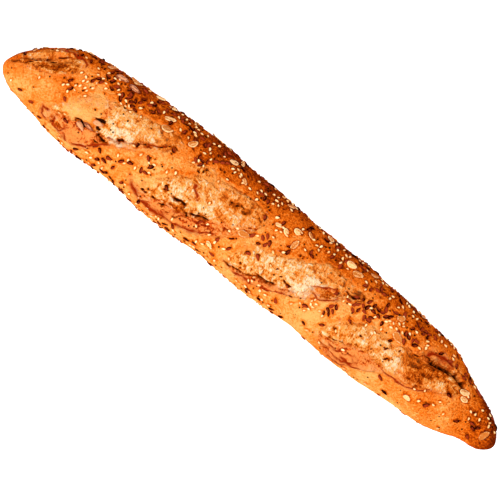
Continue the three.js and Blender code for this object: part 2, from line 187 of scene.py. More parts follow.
# Single features, each an oval: [x, a, length, breadth, degrees, height in mm].
# A patch of torn crumb also has its tone: above 0 it stayed floury, below 0 it baked brown.
PATCHES = [
    (-229, 1.5, 33, 12, 2, -0.4, -0.46), (-212, 8.5, 34, 15, 20, -0.5, -0.42),
    (-202, 12.5, 13, 11, 30, 0, -0.34), (-211, 24.5, 32, 7, -2, 0.4, 0), (-232, 15, 26, 8, 32, 0.3, -0.12),
    (-141, -11.5, 24, 15, 8, 0.4, 0.44), (-146, 6, 20, 12, 20, 0.3, 0.1), (-126, 4, 30, 15, 24, 0.5, 0.12),
    (-105, 5.5, 18, 7, 30, -0.3, -0.42), (-47, -11, 22, 13, 15, 0.7, 0.28), (-30, -4, 15, 9, 0, 0.5, 0.2),
    (-70, -14, 16, 9, 20, 0.4, 0.06), (-68.5, -26, 22, 7, 6, 0, -0.56), (-183, -33, 13, 6, 0, 0, -0.3),
    (-191, -36.5, 10, 6, 0, 0, -0.34), (-70, 10, 28, 9, 14, 0, -0.26), (-31, 4.5, 28, 6.5, 12, -0.5, -0.48),
    (-40, -9, 10, 5, 0, -0.4, -0.38), (-81, -9, 14, 11, 30, 0, -0.12), (-12, 8.5, 15, 5, -25, -0.3, -0.42),
    (17, -12, 46, 20, 15, 0.3, 0.1), (34, -11, 14, 8, 0, 0, -0.12), (54, -3.5, 15, 10, 10, 1.1, 0.62),
    (50, -16.5, 17, 12, 10, 1, 0.56), (67.5, -6, 18, 8, 24, 0, -0.3), (71, 7.5, 24, 6, 16, -0.4, -0.32),
    (88, 13, 18, 6, 12, -0.5, -0.5), (124, -9, 30, 15, 8, 0.4, 0.06), (97, -16, 17, 9, 20, 0, -0.08),
    (145, -14, 15, 13, 20, 1.6, 0.28), (163, -5, 26, 20, 12, -0.4, -0.45),
    (174, 3.8, 30, 13, 16, -0.5, -0.5), (198, 9.5, 13, 8, 20, -0.2, -0.28),
    (151, -2, 13, 10, 10, -0.3, -0.5), (181, 15.3, 46, 4, 14, 0.6, -0.3), (192, 4, 13, 9, 0, 0, -0.27),
]
CURLS = [
    (-199, -32, 10, 9, 20, 0.8), (-184, -32, 15, 8, -10, 0.9), (-165, -36, 21, 9, 6, 1),
    (-98, -37, 18, 7, -15, 0.7), (-73, -28, 12, 7, -10, 0.8), (-64, -29, 8, 5, 10, 0.6),
    (38, -24.5, 17, 6, 24, 0.9), (66, -5.5, 19, 11, 20, 0.8), (108, -36, 24, 9, 22, 0.9),
    (126, -28, 18, 7, 14, 0.7),
]
# Where a smooth skin still covers the crumb: an oval, and how much of the crumb it hides.
SKINS = [
    (-177, -5, 34, 36, 0, 0.8), (-104, -22, 22, 24, 20, 0.45), (-58, 12, 34, 11, 10, 0.5),
]
# Holes, each dug to its depth and painted dark through the deep mask as painted shade; those beside the
# sunflower kernels stand for the shadows round them.
HOLES = [
    (-158.5, -8.6, 9, 4.4, 8, -1.2), (-157.5, -15, 5, 3, -20, -1), (-168.5, -18.3, 8, 2.4, -22, -1),
    (-227, 9, 5, 2.2, 30, -0.8), (-221, 14, 4, 2.4, 0, -0.8), (-214, 11, 5, 1.6, 30, -0.6),
    (-234, 4, 4, 1.6, 10, -0.6), (-152, -25.5, 5, 1.8, 0, -1), (-99.2, -33.2, 4, 2.6, 0, -1),
    (-95.5, -33.8, 4, 2.4, 0, -1), (-87.7, -33.7, 6, 2.8, 0, -1.2), (-79.6, -33.4, 6, 2.8, 10, -1.2),
    (-119, -2.8, 3.4, 1.6, 35, -0.8), (-108.5, 4.2, 3.4, 1.5, 35, -0.8), (-104, 7.4, 3, 1.5, 30, -0.8),
    (-98.6, 9.4, 4.6, 1.5, -20, -0.8), (-60.1, -25.1, 3.6, 2.8, 0, -1.5), (-57.6, -27.8, 3, 2, 0, -1),
    (-36, 5.2, 3, 1.7, 20, -1), (-32.4, 4.6, 3, 1.5, 40, -0.8), (-27.8, 6.4, 5, 1.6, 0, -0.8),
    (-22, 4.5, 3, 1.5, 0, -0.7), (31.5, -16.6, 2.6, 1.5, 60, -0.7), (35.6, -18.6, 6, 1.3, -24, -0.8),
    (41.2, -18.8, 4, 1.4, 0, -0.8), (47, -25.4, 4, 2, 0, -1), (25, -11.8, 3, 2, 70, -0.7),
    (109.5, -11.6, 3.4, 2, 0, -0.7), (122.2, -16, 5, 1.3, 62, -0.9), (137, -13, 6, 1.3, 70, -0.9),
    (142.5, -1.5, 4, 1.2, 80, -0.6), (133, -7, 4, 1.2, 60, -0.6),
]
# Burnt edges, partly burnt crust and partly painted shadow under the lip ("line"), red folds ("ear")
# and open tears painted dark as painted shade ("deep"), each with its half width and depth in mm, and
# the places (x, a) it runs through. The spread below widens the burnt and shadowed edges, and SCORCH is
# how many times as wide the crust round them is tinged.
SCORCH = 1.9
BURN_AND_SHADOW_SPREAD = 1.3
SEAMS = [
    ("line", 0.7, 0.5, [(-225.4, 25.7), (-217.4, 27.3), (-209.3, 28), (-202.5, 27.6), (-196.8, 24.2),
        (-195.4, 18.7)]),
    ("line", 0.8, 0.7, [(-196, -27.5), (-203, -28.5), (-201, -35.5), (-195, -38)]),
    ("ear", 1.1, 0.6, [(-160.2, 9), (-158, 4), (-158.8, -1), (-158, -6.5)]),
    ("line", 0.9, 0.8, [(-191, -28.5), (-188.5, -33.5), (-185.5, -36), (-180, -35), (-176.3, -29)]),
    ("line", 0.9, 0.8, [(-177.5, -34.5), (-173, -39), (-166, -40.5), (-159, -37.5), (-155, -31.5),
        (-147, -24.5), (-139, -19)]),
    ("deep", 1, 2, [(-177, -19), (-172, -17.8), (-167, -18)]),
    ("deep", 1.5, 2.6, [(-155, -20), (-149, -21.7), (-143, -20.5)]),
    ("deep", 1.4, 2, [(-139, -14.5), (-134, -11.5)]),
    ("line", 0.42, 0.9, [(-130, -10.5), (-121, -4), (-112, 1.5), (-104, 7.5)]),
    ("line", 1.7, 0.9, [(-111, -31), (-105, -39), (-96, -44), (-84, -43), (-75, -41), (-59, -38.4),
        (-50, -35.6), (-41.5, -30)]),
    ("line", 0.7, 0.6, [(-45, -32.5), (-38, -28), (-31, -24)]),
    ("deep", 0.55, 0.7, [(-77, -36.4), (-71.6, -35.6), (-65.8, -33.4), (-59, -29.7)]),
    ("deep", 1, 2, [(-77, -22), (-70, -21), (-62.5, -21.6)]),
    ("deep", 1.3, 2.4, [(-58, -23.8), (-50, -22.3), (-42, -18.2)]),
    ("line", 0.6, 0.5, [(-69, -2), (-65.8, -4.2), (-61.4, -7.6), (-60.1, -12)]),
    ("deep", 0.6, 0.8, [(-13, -38), (-1.3, -34.8), (9, -33), (15, -29)]),
    ("deep", 1.5, 2.6, [(13.5, -26.8), (19, -27.8), (25, -27.4), (32, -25)]),
    ("line", 0.7, 0.5, [(-5, -39.3), (4.4, -36), (16, -36), (27.4, -32), (35.5, -28.4), (43.5, -24)]),
    ("line", 0.45, 0.5, [(54, -7.4), (57.4, -6.1), (62, -3.8), (66.6, -0.8), (71.2, 1.2), (76, -0.5)]),
    ("line", 0.45, 0.5, [(76, -0.5), (78.5, -4), (73.5, -9), (64.3, -13), (58, -11.5)]),
    ("deep", 0.7, 0.8, [(78, 5), (85, 7.2), (92, 10.5)]),
    ("ear", 0.5, 0.5, [(100, -27), (105, -24.5), (111, -23.5), (118.4, -23.6), (125, -25)]),
    ("line", 0.7, 0.6, [(108, -36), (114, -35.3), (121, -35.7), (128, -32)]),
    ("line", 0.7, 0.7, [(94, -46), (102, -46), (110, -42.5), (119.5, -38), (127, -34)]),
    ("line", 0.5, 0.7, [(88, -40), (96, -41.5), (104, -40), (112, -37.5), (121, -33)]),
    ("line", 0.45, 0.6, [(92, -35), (100, -35.5), (108, -32.5), (116, -30)]),
    ("deep", 0.6, 0.8, [(89, -31), (97, -29), (104, -25)]),
    ("line", 0.42, 0.5, [(138, -22.5), (145, -22.6), (154, -21.2), (162, -20.8), (171.3, -18), (176, -12.8),
        (180.5, -7.6)]),
    ("ear", 0.5, 0.4, [(180.5, -7.6), (187.4, -3.7), (194.3, 0.3), (201.3, 0.4)]),
    ("line", 1.7, 0.4, [(159, 12), (164, 14.6), (170, 16.6), (178, 18.2), (185, 18.6)]),
    ("deep", 1.8, 1.6, [(164, 7), (169.4, 9.2), (176.3, 10.6), (185.4, 12.6), (194.6, 14.1), (203.7, 14.5)]),
]


def clamp01(t):
    return np.clip(t, 0.0, 1.0)


def smooth(t):
    t = clamp01(t)
    return t * t * (3 - 2 * t)


def bell(t):
    return np.exp(-t * t)


def through(xs, ys, x):
    """A smooth curve through the points (xs, ys), read at every x."""
    xs = np.asarray(xs, float)
    ys = np.asarray(ys, float)
    steps = np.diff(xs)
    slopes = np.diff(ys) / steps
    tangents = np.empty(len(xs))
    tangents[0] = slopes[0]
    tangents[-1] = slopes[-1]
    tangents[1:-1] = (slopes[:-1] * steps[1:] + slopes[1:] * steps[:-1]) / (steps[1:] + steps[:-1])
    i = np.clip(np.searchsorted(xs, x) - 1, 0, len(xs) - 2)
    h = steps[i]
    t = (x - xs[i]) / h
    return (
        (2 * t**3 - 3 * t**2 + 1) * ys[i]
        + (t**3 - 2 * t**2 + t) * h * tangents[i]
        + (3 * t**2 - 2 * t**3) * ys[i + 1]
        + (t**3 - t**2) * h * tangents[i + 1]
    )


def unit_section(angle):
    """y from 0 to 1 and z as a share of the height, at an angle from the ridge."""
    side = np.sin(angle)
    up = np.cos(angle)
    power = np.where(up >= 0, SHOULDER_POWER, BELLY_POWER)
    reach = np.where(up >= 0, 1 - WIDEST_SHARE, -WIDEST_SHARE)
    return np.abs(side) ** (2 / power), WIDEST_SHARE + reach * np.abs(up) ** (2 / power)


ARC_ANGLES = np.linspace(0, math.pi, 721)
ARC_Y, ARC_Z = unit_section(ARC_ANGLES)
ARC = np.concatenate(
    [[0], np.cumsum(np.hypot(np.diff(ARC_Y * NOMINAL_HALF_WIDTH), np.diff(ARC_Z * NOMINAL_HEIGHT)))]
)
NOMINAL_ARC = ARC[-1]


def tip_scale(x):
    """How much of the section is left where an end rounds off."""
    reach = np.where(x < 0, TIP_BLUNT, TIP_NOSE)
    missing = clamp01(1 - (HALF - np.abs(x)) / reach)
    return np.sqrt(1 - missing**2)


def station(column, x):
    return through(STATIONS[:, 0], STATIONS[:, column], x)


def half_perimeter(x):
    """mm from the ridge round to the keel."""
    half_width = (station(1, x) - station(2, x)) / 2
    height = station(3, x) - station(4, x)
    size = (half_width / NOMINAL_HALF_WIDTH + height / NOMINAL_HEIGHT) / 2
    return NOMINAL_ARC * size * tip_scale(x)


def plain_points(x, share):
    """The loaf before it is slashed. share is 0 at the ridge and 1 or -1 at the keel."""
    side, up = unit_section(np.interp(np.abs(share) * NOMINAL_ARC, ARC, ARC_ANGLES))
    back, front, ridge, keel = (station(k, x) for k in (1, 2, 3, 4))
    tip = tip_scale(x)
    y = (back + front) / 2 + np.sign(share) * side * tip * (back - front) / 2
    z = (ridge + keel) / 2 + (up - 0.5) * (ridge - keel) * tip
    return np.stack([x, y, z - SOLE_CUT], axis=-1)


def unit(vectors):
    """The same directions with a length of 1."""
    return vectors / np.maximum(np.linalg.norm(vectors, axis=-1, keepdims=True), 1e-9)


def outward(x, share, step_x=0.5, step_share=0.004):
    """The direction straight out of the plain loaf."""
    inside = np.clip(x, 1.1 * step_x - HALF, HALF - 1.1 * step_x)
    along = plain_points(inside + step_x, share) - plain_points(inside - step_x, share)
    around = plain_points(inside, share + step_share) - plain_points(inside, share - step_share)
    return unit(np.cross(along, around))


# ---------- grain


def lattice(i, j, seed):
    """A fixed pseudo-random value from 0 to 1 at each whole-number point."""
    n = (i * 374761393 + j * 668265263 + seed * 144269504) & 0xFFFFFFFF
    n = ((n ^ (n >> 13)) * 1274126177) & 0xFFFFFFFF
    return ((n ^ (n >> 16)) & 0xFFFF) / 65535.0


def grain(x, y, seed):
    """Smooth noise from -1 to 1, with features about one unit apart."""
    x, y = np.broadcast_arrays(np.asarray(x, float), np.asarray(y, float))
    i = np.floor(x).astype(np.int64)
    j = np.floor(y).astype(np.int64)
    u = x - i
    v = y - j
    u = u * u * u * (u * (6 * u - 15) + 10)
    v = v * v * v * (v * (6 * v - 15) + 10)
    low = lattice(i, j, seed) * (1 - u) + lattice(i + 1, j, seed) * u
    high = lattice(i, j + 1, seed) * (1 - u) + lattice(i + 1, j + 1, seed) * u
    return 2 * (low * (1 - v) + high * v) - 1


def rough(x, y, seed, layers=3):
    """Grain on grain: each layer half as large and half as deep."""
    total = 0
    for k in range(layers):
        total = total + grain(x * 2**k, y * 2**k, seed + 17 * k) / 2**k
    return total


def crests(x, y, seed, layers=2):
    """Sharp winding ridges, from about -0.5 between them to 1 on top."""
    return 1 - 2 * np.abs(rough(x, y, seed, layers))


def pillows(x, y, seed):
    """Lumps pressed against each other: 0 in the creases and up to about 1 on the tops."""
    i = np.floor(x).astype(np.int64)
    j = np.floor(y).astype(np.int64)
    nearest = np.full(np.shape(x), 9.0)
    second = nearest.copy()
    for di in (-1, 0, 1):
        for dj in (-1, 0, 1):
            px = i + di + 0.1 + 0.8 * lattice(i + di, j + dj, seed)
            py = j + dj + 0.1 + 0.8 * lattice(i + di, j + dj, seed + 5)
            far = np.hypot(px - x, py - y)
            second = np.minimum(second, np.maximum(nearest, far))
            nearest = np.minimum(nearest, far)
    return second - nearest


def wander(x, a, much, apart, seed):
    """The same places, each moved by up to about much mm, with waves about apart mm long."""
    x = x + much * rough(x / apart[0], a / apart[1], seed, 2)
    return x, a + much * rough(x / apart[0], a / apart[1], seed + 1, 2)


# ---------- slashes


def on_slash(slash, x, a):
    """Where (x, a) lies on a slash: v from 0 to 1 along it, and mm across it to the back."""
    run = np.subtract(slash["stop"], slash["start"])
    length = math.hypot(*run)
    run = run / length
    dx = x - slash["start"][0]
    da = a - slash["start"][1]
    return (dx * run[0] + da * run[1]) / length, da * run[0] - dx * run[1], length


MASKS = ("torn", "tone", "ear", "line", "deep", "browned")


def cover(masks, name, much):
    """Raises a mask to at least much."""
    masks[name] = np.maximum(masks[name], much)


def slash_relief(number, x, a, fine):
    """Height over the plain loaf, and the masks that colour the torn crumb of one slash.

    torn is 1 on torn crumb, tone is how pale it is against its middle colour, with painted light on the
    tops of folds and lumps and painted shade in creases and by the crack, ear is the band of the lifted
    lip, line its burnt edge partly painted as shadow under the lip, deep the painted shade in the rift,
    and browned what baked as dark as crust.
    What along, across, x and a are divided by is the length of a wave in mm.
    """
    slash = SLASHES[number]
    seed = 100 * number + 11
    if fine:
        x, a = wander(x, a, EDGE_WANDER, (9, 8), seed + 31)
    v, across, length = on_slash(slash, x, a)
    inside = (v > 0) & (v < 1)
    v = clamp01(v)
    along = v * length
    front, back, rift = (through(WIDTH_STEPS, slash[k], v) for k in ("front", "back", "rift"))
    ear, rip, crumb, crack, umber, pale, blush = (
        through(HEIGHT_STEPS, slash[k], v)
        for k in ("ear", "rip", "crumb", "crack", "umber", "pale", "blush")
    )
    if fine:
        front = front + 1.1 * grain(along / 8, 0.5, seed) * smooth(front / 6)
        back = back + 1.6 * rough(along / 10, 3.5, seed + 1, 3) * smooth(back / 6)
        rift = rift + 1.3 * rough(along / 9, 7.5, seed + 2, 3)
    fade = smooth(v / SLASH_END) * smooth((1 - v) / SLASH_END) * inside
    band = np.maximum((front + rift) * EAR_BAND_SHARE, EAR_BAND_LEAST)
    ear_at = across + front
    lip = ear * bell(ear_at / np.where(ear_at < 0, EAR_OUTSIDE, band))
    lip = lip - LIP_UNDERCUT * ear * bell((ear_at + 1.9) / 0.8) * fine
    gap = bell((across - rift) / RIFT_HALF)
    part = clamp01((across - rift) / np.maximum(back - rift, 1))
    swell = crumb * (4 * part * (1 - part)) ** CRUMB_FULLNESS
    split = bell((across - back + CRACK_HALF) / CRACK_HALF)
    height = lip + swell
    if not fine:
        return (height - rip * gap - crack * split) * fade, None

    umber, pale, blush = clamp01(umber), clamp01(pale), clamp01(blush)
    behind = across > rift
    bare = 1 - veiled(x, a) * behind
    ragged = 1.3 * rough(x / 4, a / 4, seed + 9, 2)
    torn = smooth((ear_at - 0.2 + 0.4 * ragged) / 1.4)
    torn = torn * smooth((back - across - 0.6 + ragged) / 2.6) * fade * bare
    in_band = smooth(ear_at / 1.2) * smooth((rift - across + 0.6) / 1.6) * fade
    crumbly = torn * bare * smooth((across - rift) / 2.5)
    calm = 1 - 0.6 * umber

    sway = 3 * grain(along / 16, across / 13, seed + 12)
    folds = crests(along / 17, (across + sway) / 4.6, seed + 5)
    wrinkles = crests(along / 6, (across + sway) / 2.4, seed + 6)
    press = pillows((along + sway) / 10, across / 8, seed + 8)
    lumps = smooth(press / 0.7)
    creases = (1 - smooth(press / 0.16)) * smooth(0.5 + 1.6 * grain(x / 7, a / 7, seed + 14))
    fibres = grain(along / 1.9 + sway, across / 9, seed + 7)
    crumbs = rough(x / 2.4, a / 2.4, seed + 13, 2)
    tufts = LUMP_HEIGHT * lumps - 0.4 + FIBRE_HEIGHT * fibres
    tufts = tufts + CRUMB_HEIGHT * crumbs - CREASE_DEPTH * creases
    open_gap = through(OPEN_STEPS, slash["open"], v) * smooth(0.75 + 1.3 * crumbs)
    split = split * smooth(0.7 + 0.9 * grain(along / 9, 2.5, seed + 4))
    deep_split = bell((across - back + CRACK_HALF) / 0.8) * smooth(0.5 + 1.2 * crumbs)
    rim = bell((across - back - 1.4) / 1.7) * fade
    height = height + in_band * (FOLD_HEIGHT * folds + WRINKLE_HEIGHT * wrinkles)
    height = height + crumbly * calm * tufts - rip * gap * open_gap - crack * split
    height = height + rim * (RIM_HEIGHT + RIM_OVER_CRACK * crack)

    # Tone follows the relief: the tops of folds and lumps are lighter as painted light, and creases are
    # darker as painted shade.
    tone_band = 0.22 * folds + 0.16 * wrinkles - 0.05 - 0.15 * umber
    tufted = 0.13 * (lumps - 0.6) + 0.16 * fibres + 0.12 * crumbs - 0.2 * creases
    tone_crumb = calm * tufted + 0.12 * pale - 0.34 * umber
    # Darker towards the crack and along the crack's edge: painted shade.
    near_crack = smooth(1 - (back - across) / 14) * clamp01(crack / 3)
    edge = bell((across - back + 1.2) / 1.8)
    masks = {
        "torn": torn * (1 - 0.6 * umber * behind),
        "tone": in_band * tone_band + crumbly * (tone_crumb - 0.15 * near_crack - 0.25 * edge),
        "ear": in_band * blush,
        # line: burnt edge with painted shadow under the lifted lip.
        "line": 0.3 * fade * clamp01(ear / 1.4) * bell(ear_at + 0.6) * smooth(1.1 + crumbs),
        # deep: painted shade in the open rift and the crack.
        "deep": fade * clamp01(1.1 * gap * open_gap + clamp01(crack - 1) * deep_split),
        "browned": 0.8 * torn * umber + 0.6 * rim,
    }
    return height * fade, masks


def oval(x, a, place):
    """How far out in an oval: 0 at its middle and 1 at its edge, and how far across it."""
    turn = math.radians(place[4])
    u = (x - place[0]) * math.cos(turn) + (a - place[1]) * math.sin(turn)
    w = (a - place[1]) * math.cos(turn) - (x - place[0]) * math.sin(turn)
    return np.hypot(u / (place[2] / 2), w / (place[3] / 2)), w / (place[3] / 2)


def veiled(x, a):
    """How much of the crumb a smooth skin still covers, from 0 to 1."""
    veil = 0
    for place in SKINS:
        out, _ = oval(x, a, place)
        veil = np.maximum(veil, place[5] * smooth((1.1 - out) / 0.2))
    return veil


def along_seam(x, a, places):
    """Distance in mm to the bent line through the places, and how far along it from 0 to 1."""
    nearest = np.full(np.shape(x), 99.0)
    part = np.zeros(np.shape(x))
    pieces = len(places) - 1
    for number in range(pieces):
        (x0, a0), (x1, a1) = places[number], places[number + 1]
        dx, da = x1 - x0, a1 - a0
        t = clamp01(((x - x0) * dx + (a - a0) * da) / (dx * dx + da * da))
        far = np.hypot(x - x0 - t * dx, a - a0 - t * da)
        part = np.where(far < nearest, (number + t) / pieces, part)
        nearest = np.minimum(nearest, far)
    return nearest, part


def add_features(x, a, height, masks):
    """The curls, patches, holes and seams that stand out by themselves.

    Where an oval fades is given in shares of its half size, and where a seam fades in half widths.
    """
    x, a = wander(x, a, FEATURE_WANDER, (6, 6), 811)
    patchy = rough(x / 3.2, a / 3.2, 813, 2)
    crumbled = rough(x / 1.6, a / 1.6, 814, 2)
    for place in CURLS:
        out, side = oval(x, a, place)
        within = smooth((1.1 - out) / 0.2)
        ring = bell((out - 0.8) / 0.22)
        # The trench round a curl is painted as line: partly burnt edge, partly painted shadow in the trench.
        trench = 0.5 * bell((out - 1.14) / 0.11) * smooth(0.75 - 0.5 * side + 0.3 * patchy)
        height += place[5] * (ring - trench)
        masks["tone"] += 0.08 * within + 0.16 * ring
        cover(masks, "ear", 0.8 * within)
        cover(masks, "torn", smooth((1.2 - out) / 0.2))
        cover(masks, "line", trench * 0.8)
    for place in PATCHES:
        out, _ = oval(x, a, place)
        much = smooth((1.15 - out + 0.35 * patchy) / 0.55)
        height += place[5] * much
        masks["tone"] += 0.8 * much * (place[6] - masks["tone"])
        cover(masks, "torn", 0.9 * much)
        masks["ear"] *= 1 - 0.8 * much
    # Holes are dug and filled with painted shade through the deep mask.
    for place in HOLES:
        out, _ = oval(x, a, place)
        much = smooth((1.2 - out + 0.35 * crumbled) / 0.6)
        height += place[5] * much
        cover(masks, "deep", much)
    for mask, width, depth, places in SEAMS:
        width = width * (BURN_AND_SHADOW_SPREAD if mask == "line" else 1)
        far, part = along_seam(x, a, places)
        ends = smooth(0.3 + 5 * part) * smooth(0.3 + 5 * (1 - part))
        broken = 0.35 * patchy + (0.8 * crumbled if mask == "deep" else 0)
        # A seam digs a groove; a line seam paints it as burnt edge and painted shadow, a deep seam as
        # painted shade.
        height += depth * ends * (0.5 * bell((far - 2.4 * width) / width) - bell(far / width))
        cover(masks, mask, bell(far / (width * np.maximum(1 + broken, 0.2))) * ends)
        if mask != "deep":
            scorch = bell(far / (SCORCH * width)) * ends
            cover(masks, "torn", 0.75 * scorch)
            cover(masks, "ear", scorch)
            masks["tone"] -= 0.07 * scorch


def crust(x, share, fine=True):
    """Points of the real crust, and its masks."""
    a = share * half_perimeter(x)
    height = sum(h * np.sin(x / along + a / around + phase) for h, along, around, phase in SWELLS)
    masks = {name: np.zeros_like(x) for name in MASKS}
    for number, slash in enumerate(SLASHES):
        v, across, _ = on_slash(slash, x, a)
        near = (np.abs(v - 0.5) < 0.5 + SLASH_MARGIN) & (np.abs(across) < SLASH_REACH)
        if not near.any():
            continue
        rise, found = slash_relief(number, x[near], a[near], fine)
        height[near] += rise
        for name in MASKS if fine else ():
            now = masks[name][near]
            masks[name][near] = now + found[name] if name == "tone" else np.maximum(now, found[name])
    if fine:
        add_features(x, a, height, masks)
        blisters = smooth(pillows(x / 5.5, a / 5, 905) / 0.7) * smooth(grain(x / 17, a / 15, 906) + 0.4)
        bumps = SKIN_ROUGHNESS * rough(x / 3.5, a / 3.5, 901) + SKIN_WAVES * grain(x / 13, a / 11, 902)
        height += (1 - masks["torn"]) * (bumps + BLISTER_HEIGHT * blisters)
    calm = smooth((HALF - np.abs(x)) / TIP_CALM) * smooth((1 - np.abs(share)) / SOLE_CALM)
    points = plain_points(x, share) + outward(x, share) * (height * calm)[..., None]
    points[..., 2] = np.maximum(points[..., 2], 0)
    return points, masks


GROUND_STEP = 1.2


def ground(x, a):
    """Points of the crust at (x, a), with its outward and lengthwise directions."""
    step = GROUND_STEP
    share = a / half_perimeter(x)
    turn = step / half_perimeter(x)
    here, _ = crust(x, share)
    along = crust(x + step, share, False)[0] - crust(x - step, share, False)[0]
    around = crust(x, share + turn, False)[0] - crust(x, share - turn, False)[0]
    up = unit(np.cross(along, around))
    return here, up, unit(along)


# ---------- toppings


def draws(state):
    """The same draws in the same order every time, each from 0 to 1."""
    while True:
        state = (state * 1664525 + 1013904223) % 2**32
        yield state / 2**32


KERNEL = {"size": (10.5, 5.4, 3), "apart": 13, "more": 3, "beyond": 34, "gathered": []}
FLAKE = {"size": (8.6, 5.2, 1.8), "apart": 11, "more": 8, "beyond": 34, "gathered": []}
FLAX = {"size": (5, 2.6, 1.6), "apart": 8.5, "more": 40, "beyond": -100}
KERNEL["set"] = [
    (-159, -11.6, 8), (-163.6, -17.9, -12), (-169, -21.2, -22), (-167, 34, 4), (-154, 31.5, -8),
]
FLAKE["set"] = [
    (-116.7, 29, 12), (-113.8, 19, 28), (-90, 21.5, 60), (-39, 26.5, -38), (-13.7, -8.4, 20),
    (-30.2, -36, 0), (4.1, 16, 20), (12.6, 15, -20), (19.5, 21.7, 20), (23.8, 11, 80), (29.2, 27, -30),
    (69.3, 28.6, 10), (77.8, 24.8, 30), (133.9, 6.2, -20), (127, 21, 35), (170, -27, -20), (207, 6, 10),
    (203.8, 11, 40), (238, -3.5, 80),
]
FLAX["set"] = [
    (2.6, 2.8, -55), (0.4, -0.6, -40), (7.5, -0.6, -60), (5.3, -3.4, 80), (0.6, -6.2, 25), (-7.4, -4.2, 70),
    (6.9, -14.6, -40), (-0.6, -17, 20), (23, 3, 80), (-15.4, -25, 70), (77.3, -10.5, 60),
    (80.6, -13.2, -35), (79.4, -17.2, -55), (60.7, -24, 10), (80.7, -27.5, 35), (96, -8.6, -30),
    (143.6, -28.8, -30), (195.1, -0.5, 5), (224.4, -5.5, 10), (227.2, -8, -10), (230.2, -4, 50),
    (-126, -25.5, 60), (-119.5, -22, 15), (-105.2, -20.7, 0), (-128.2, -35, 80), (-135, -31, 20),
    (-137.3, -36, -10), (-124.7, -48, -30), (-192.2, -12, -30), (-180.8, -25.5, -10), (-144.8, -30.8, -50),
    (-135.6, -30.5, 10), (-137.8, -35.5, -15),
]
# Where flax seeds lie close together: [x, a, reach along x, reach round, how many].
FLAX["gathered"] = [
    (92, 6, 9, 4, 6), (104, 10, 9, 5, 8), (-152, 18, 6, 5, 4),
]
CLOSE = 4.4
WELCOME_BACK = 1
WELCOME_FRONT = 0.5
WELCOME_BARE = 0.12
WELCOME_TORN = 0.04
SEEDED_BACK = 0.68
SEEDED_FRONT = -0.6
FRONT_SEEDED_FROM = -205
FRONT_SEEDED_TO = 40
BACK_FROM = 0.1
BARE_TIP = 12
RANDOM_START = 20251


def is_torn(x, a):
    """True on the opened part of any slash."""
    for slash in SLASHES:
        v, across, _ = on_slash(slash, x, a)
        if 0 < v < 1:
            front = float(through(WIDTH_STEPS, slash["front"], v))
            back = float(through(WIDTH_STEPS, slash["back"], v))
            if -front < across < back:
                return True
    return False


def welcome_at(x, a):
    """How likely a topping is to stick at (x, a), from 0 to 1."""
    share = a / float(half_perimeter(np.array(x, float)))
    if share > SEEDED_BACK or share < SEEDED_FRONT:
        return 0
    if is_torn(x, a):
        return WELCOME_TORN
    if share > BACK_FROM:
        return WELCOME_BACK
    return WELCOME_FRONT if FRONT_SEEDED_FROM < x < FRONT_SEEDED_TO else WELCOME_BARE


def topping_places():
    """Places (x, a, degrees) of the largest toppings, by kind: the ones of the solid."""
    draw = draws(RANDOM_START).__next__
    kinds = {"kernel": KERNEL, "flake": FLAKE, "flax": FLAX}
    places = {name: list(kind["set"]) for name, kind in kinds.items()}

    def clear(x, a, apart):
        return all(
            math.hypot(spot[0] - x, spot[1] - a) > apart for spots in places.values() for spot in spots
        )

    for name, kind in kinds.items():
        for middle_x, middle_a, reach_x, reach_a, wanted in kind["gathered"]:
            while wanted > 0:
                x = middle_x + (2 * draw() - 1) * reach_x
                a = middle_a + (2 * draw() - 1) * reach_a
                degrees = 360 * draw()
                wanted -= 1
                if clear(x, a, CLOSE):
                    places[name].append((x, a, degrees))
        wanted = kind["more"]
        while wanted > 0:
            x = (2 * draw() - 1) * (HALF - BARE_TIP)
            a = (2 * draw() - 1) * NOMINAL_ARC
            degrees = 360 * draw()
            welcome = draw() < welcome_at(x, a) and a > kind["beyond"]
            if welcome and clear(x, a, kind["apart"]):
                places[name].append((x, a, degrees))
                wanted -= 1
    return places


# Where small seeds lie close together: [x, a, reach along x, reach round, how many].
SESAME_GATHERED = [
    (-186, 5, 7, 5, 9), (-197, -2, 6, 4, 6), (-172, 20, 7, 5, 8), (-149, 13, 7, 4, 7), (-95, 35, 9, 5, 9),
    (-75, 13, 7, 4, 6), (-7, 33, 8, 5, 9), (8, 14, 5, 4, 6), (70, -19, 8, 4, 18), (60, -26, 5, 2, 5),
    (89, 3, 7, 5, 12), (103, 9, 8, 6, 16), (113, 2, 7, 5, 9), (118, 12, 9, 5, 9), (134, 16, 9, 5, 9),
    (231, 9, 7, 4, 8), (223, 3, 6, 4, 5), (-120, -23, 6, 3, 5), (20, -33, 9, 2, 6),
]
FLAX_GATHERED = [
    (98, 6, 10, 7, 22), (79, -13, 4, 6, 9), (112, 12, 9, 5, 12), (142, 10, 7, 6, 9), (146, 24, 7, 4, 8),
    (-150, 19, 8, 5, 10), (-134, 27, 8, 4, 8),
]
# How each kind's further ones lie: mm apart, how likely on torn crumb, where they gather, and how
# many times as many there are on the far flank.
SCATTER = {
    "flake": {"apart": 6, "torn_share": 0, "beyond": FLAKE["beyond"]},
    "flax": {"apart": 3.1, "torn_share": 0.02, "gathered": FLAX_GATHERED, "far_side": 2},
    "sesame": {"apart": 2.6, "torn_share": 0.02, "gathered": SESAME_GATHERED},
    "poppy": {"apart": 1.6, "torn_share": 0.08},
}
SCATTER_START = 77
SCATTER_TRIES = 80
SCATTER_BARE_TIP = 6
NEAR_SIDE = 2.6
CLUSTER_SIZE = (17, 13)
BETWEEN_CLUSTERS = 0.25
IN_CLUSTERS = 0.95
FLANK_FROM = 0.4
FLAX_FULLNESS = 1.08
SESAME_SIZE = (3.4, 2, 1.2)
POPPY_SIZE = (1.5, 1.3, 1.1)
TOPPING_SIZES = {
    "kernel": KERNEL["size"],
    "flake": FLAKE["size"],
    "flax": FLAX["size"],
    "sesame": SESAME_SIZE,
    "poppy": POPPY_SIZE,
}


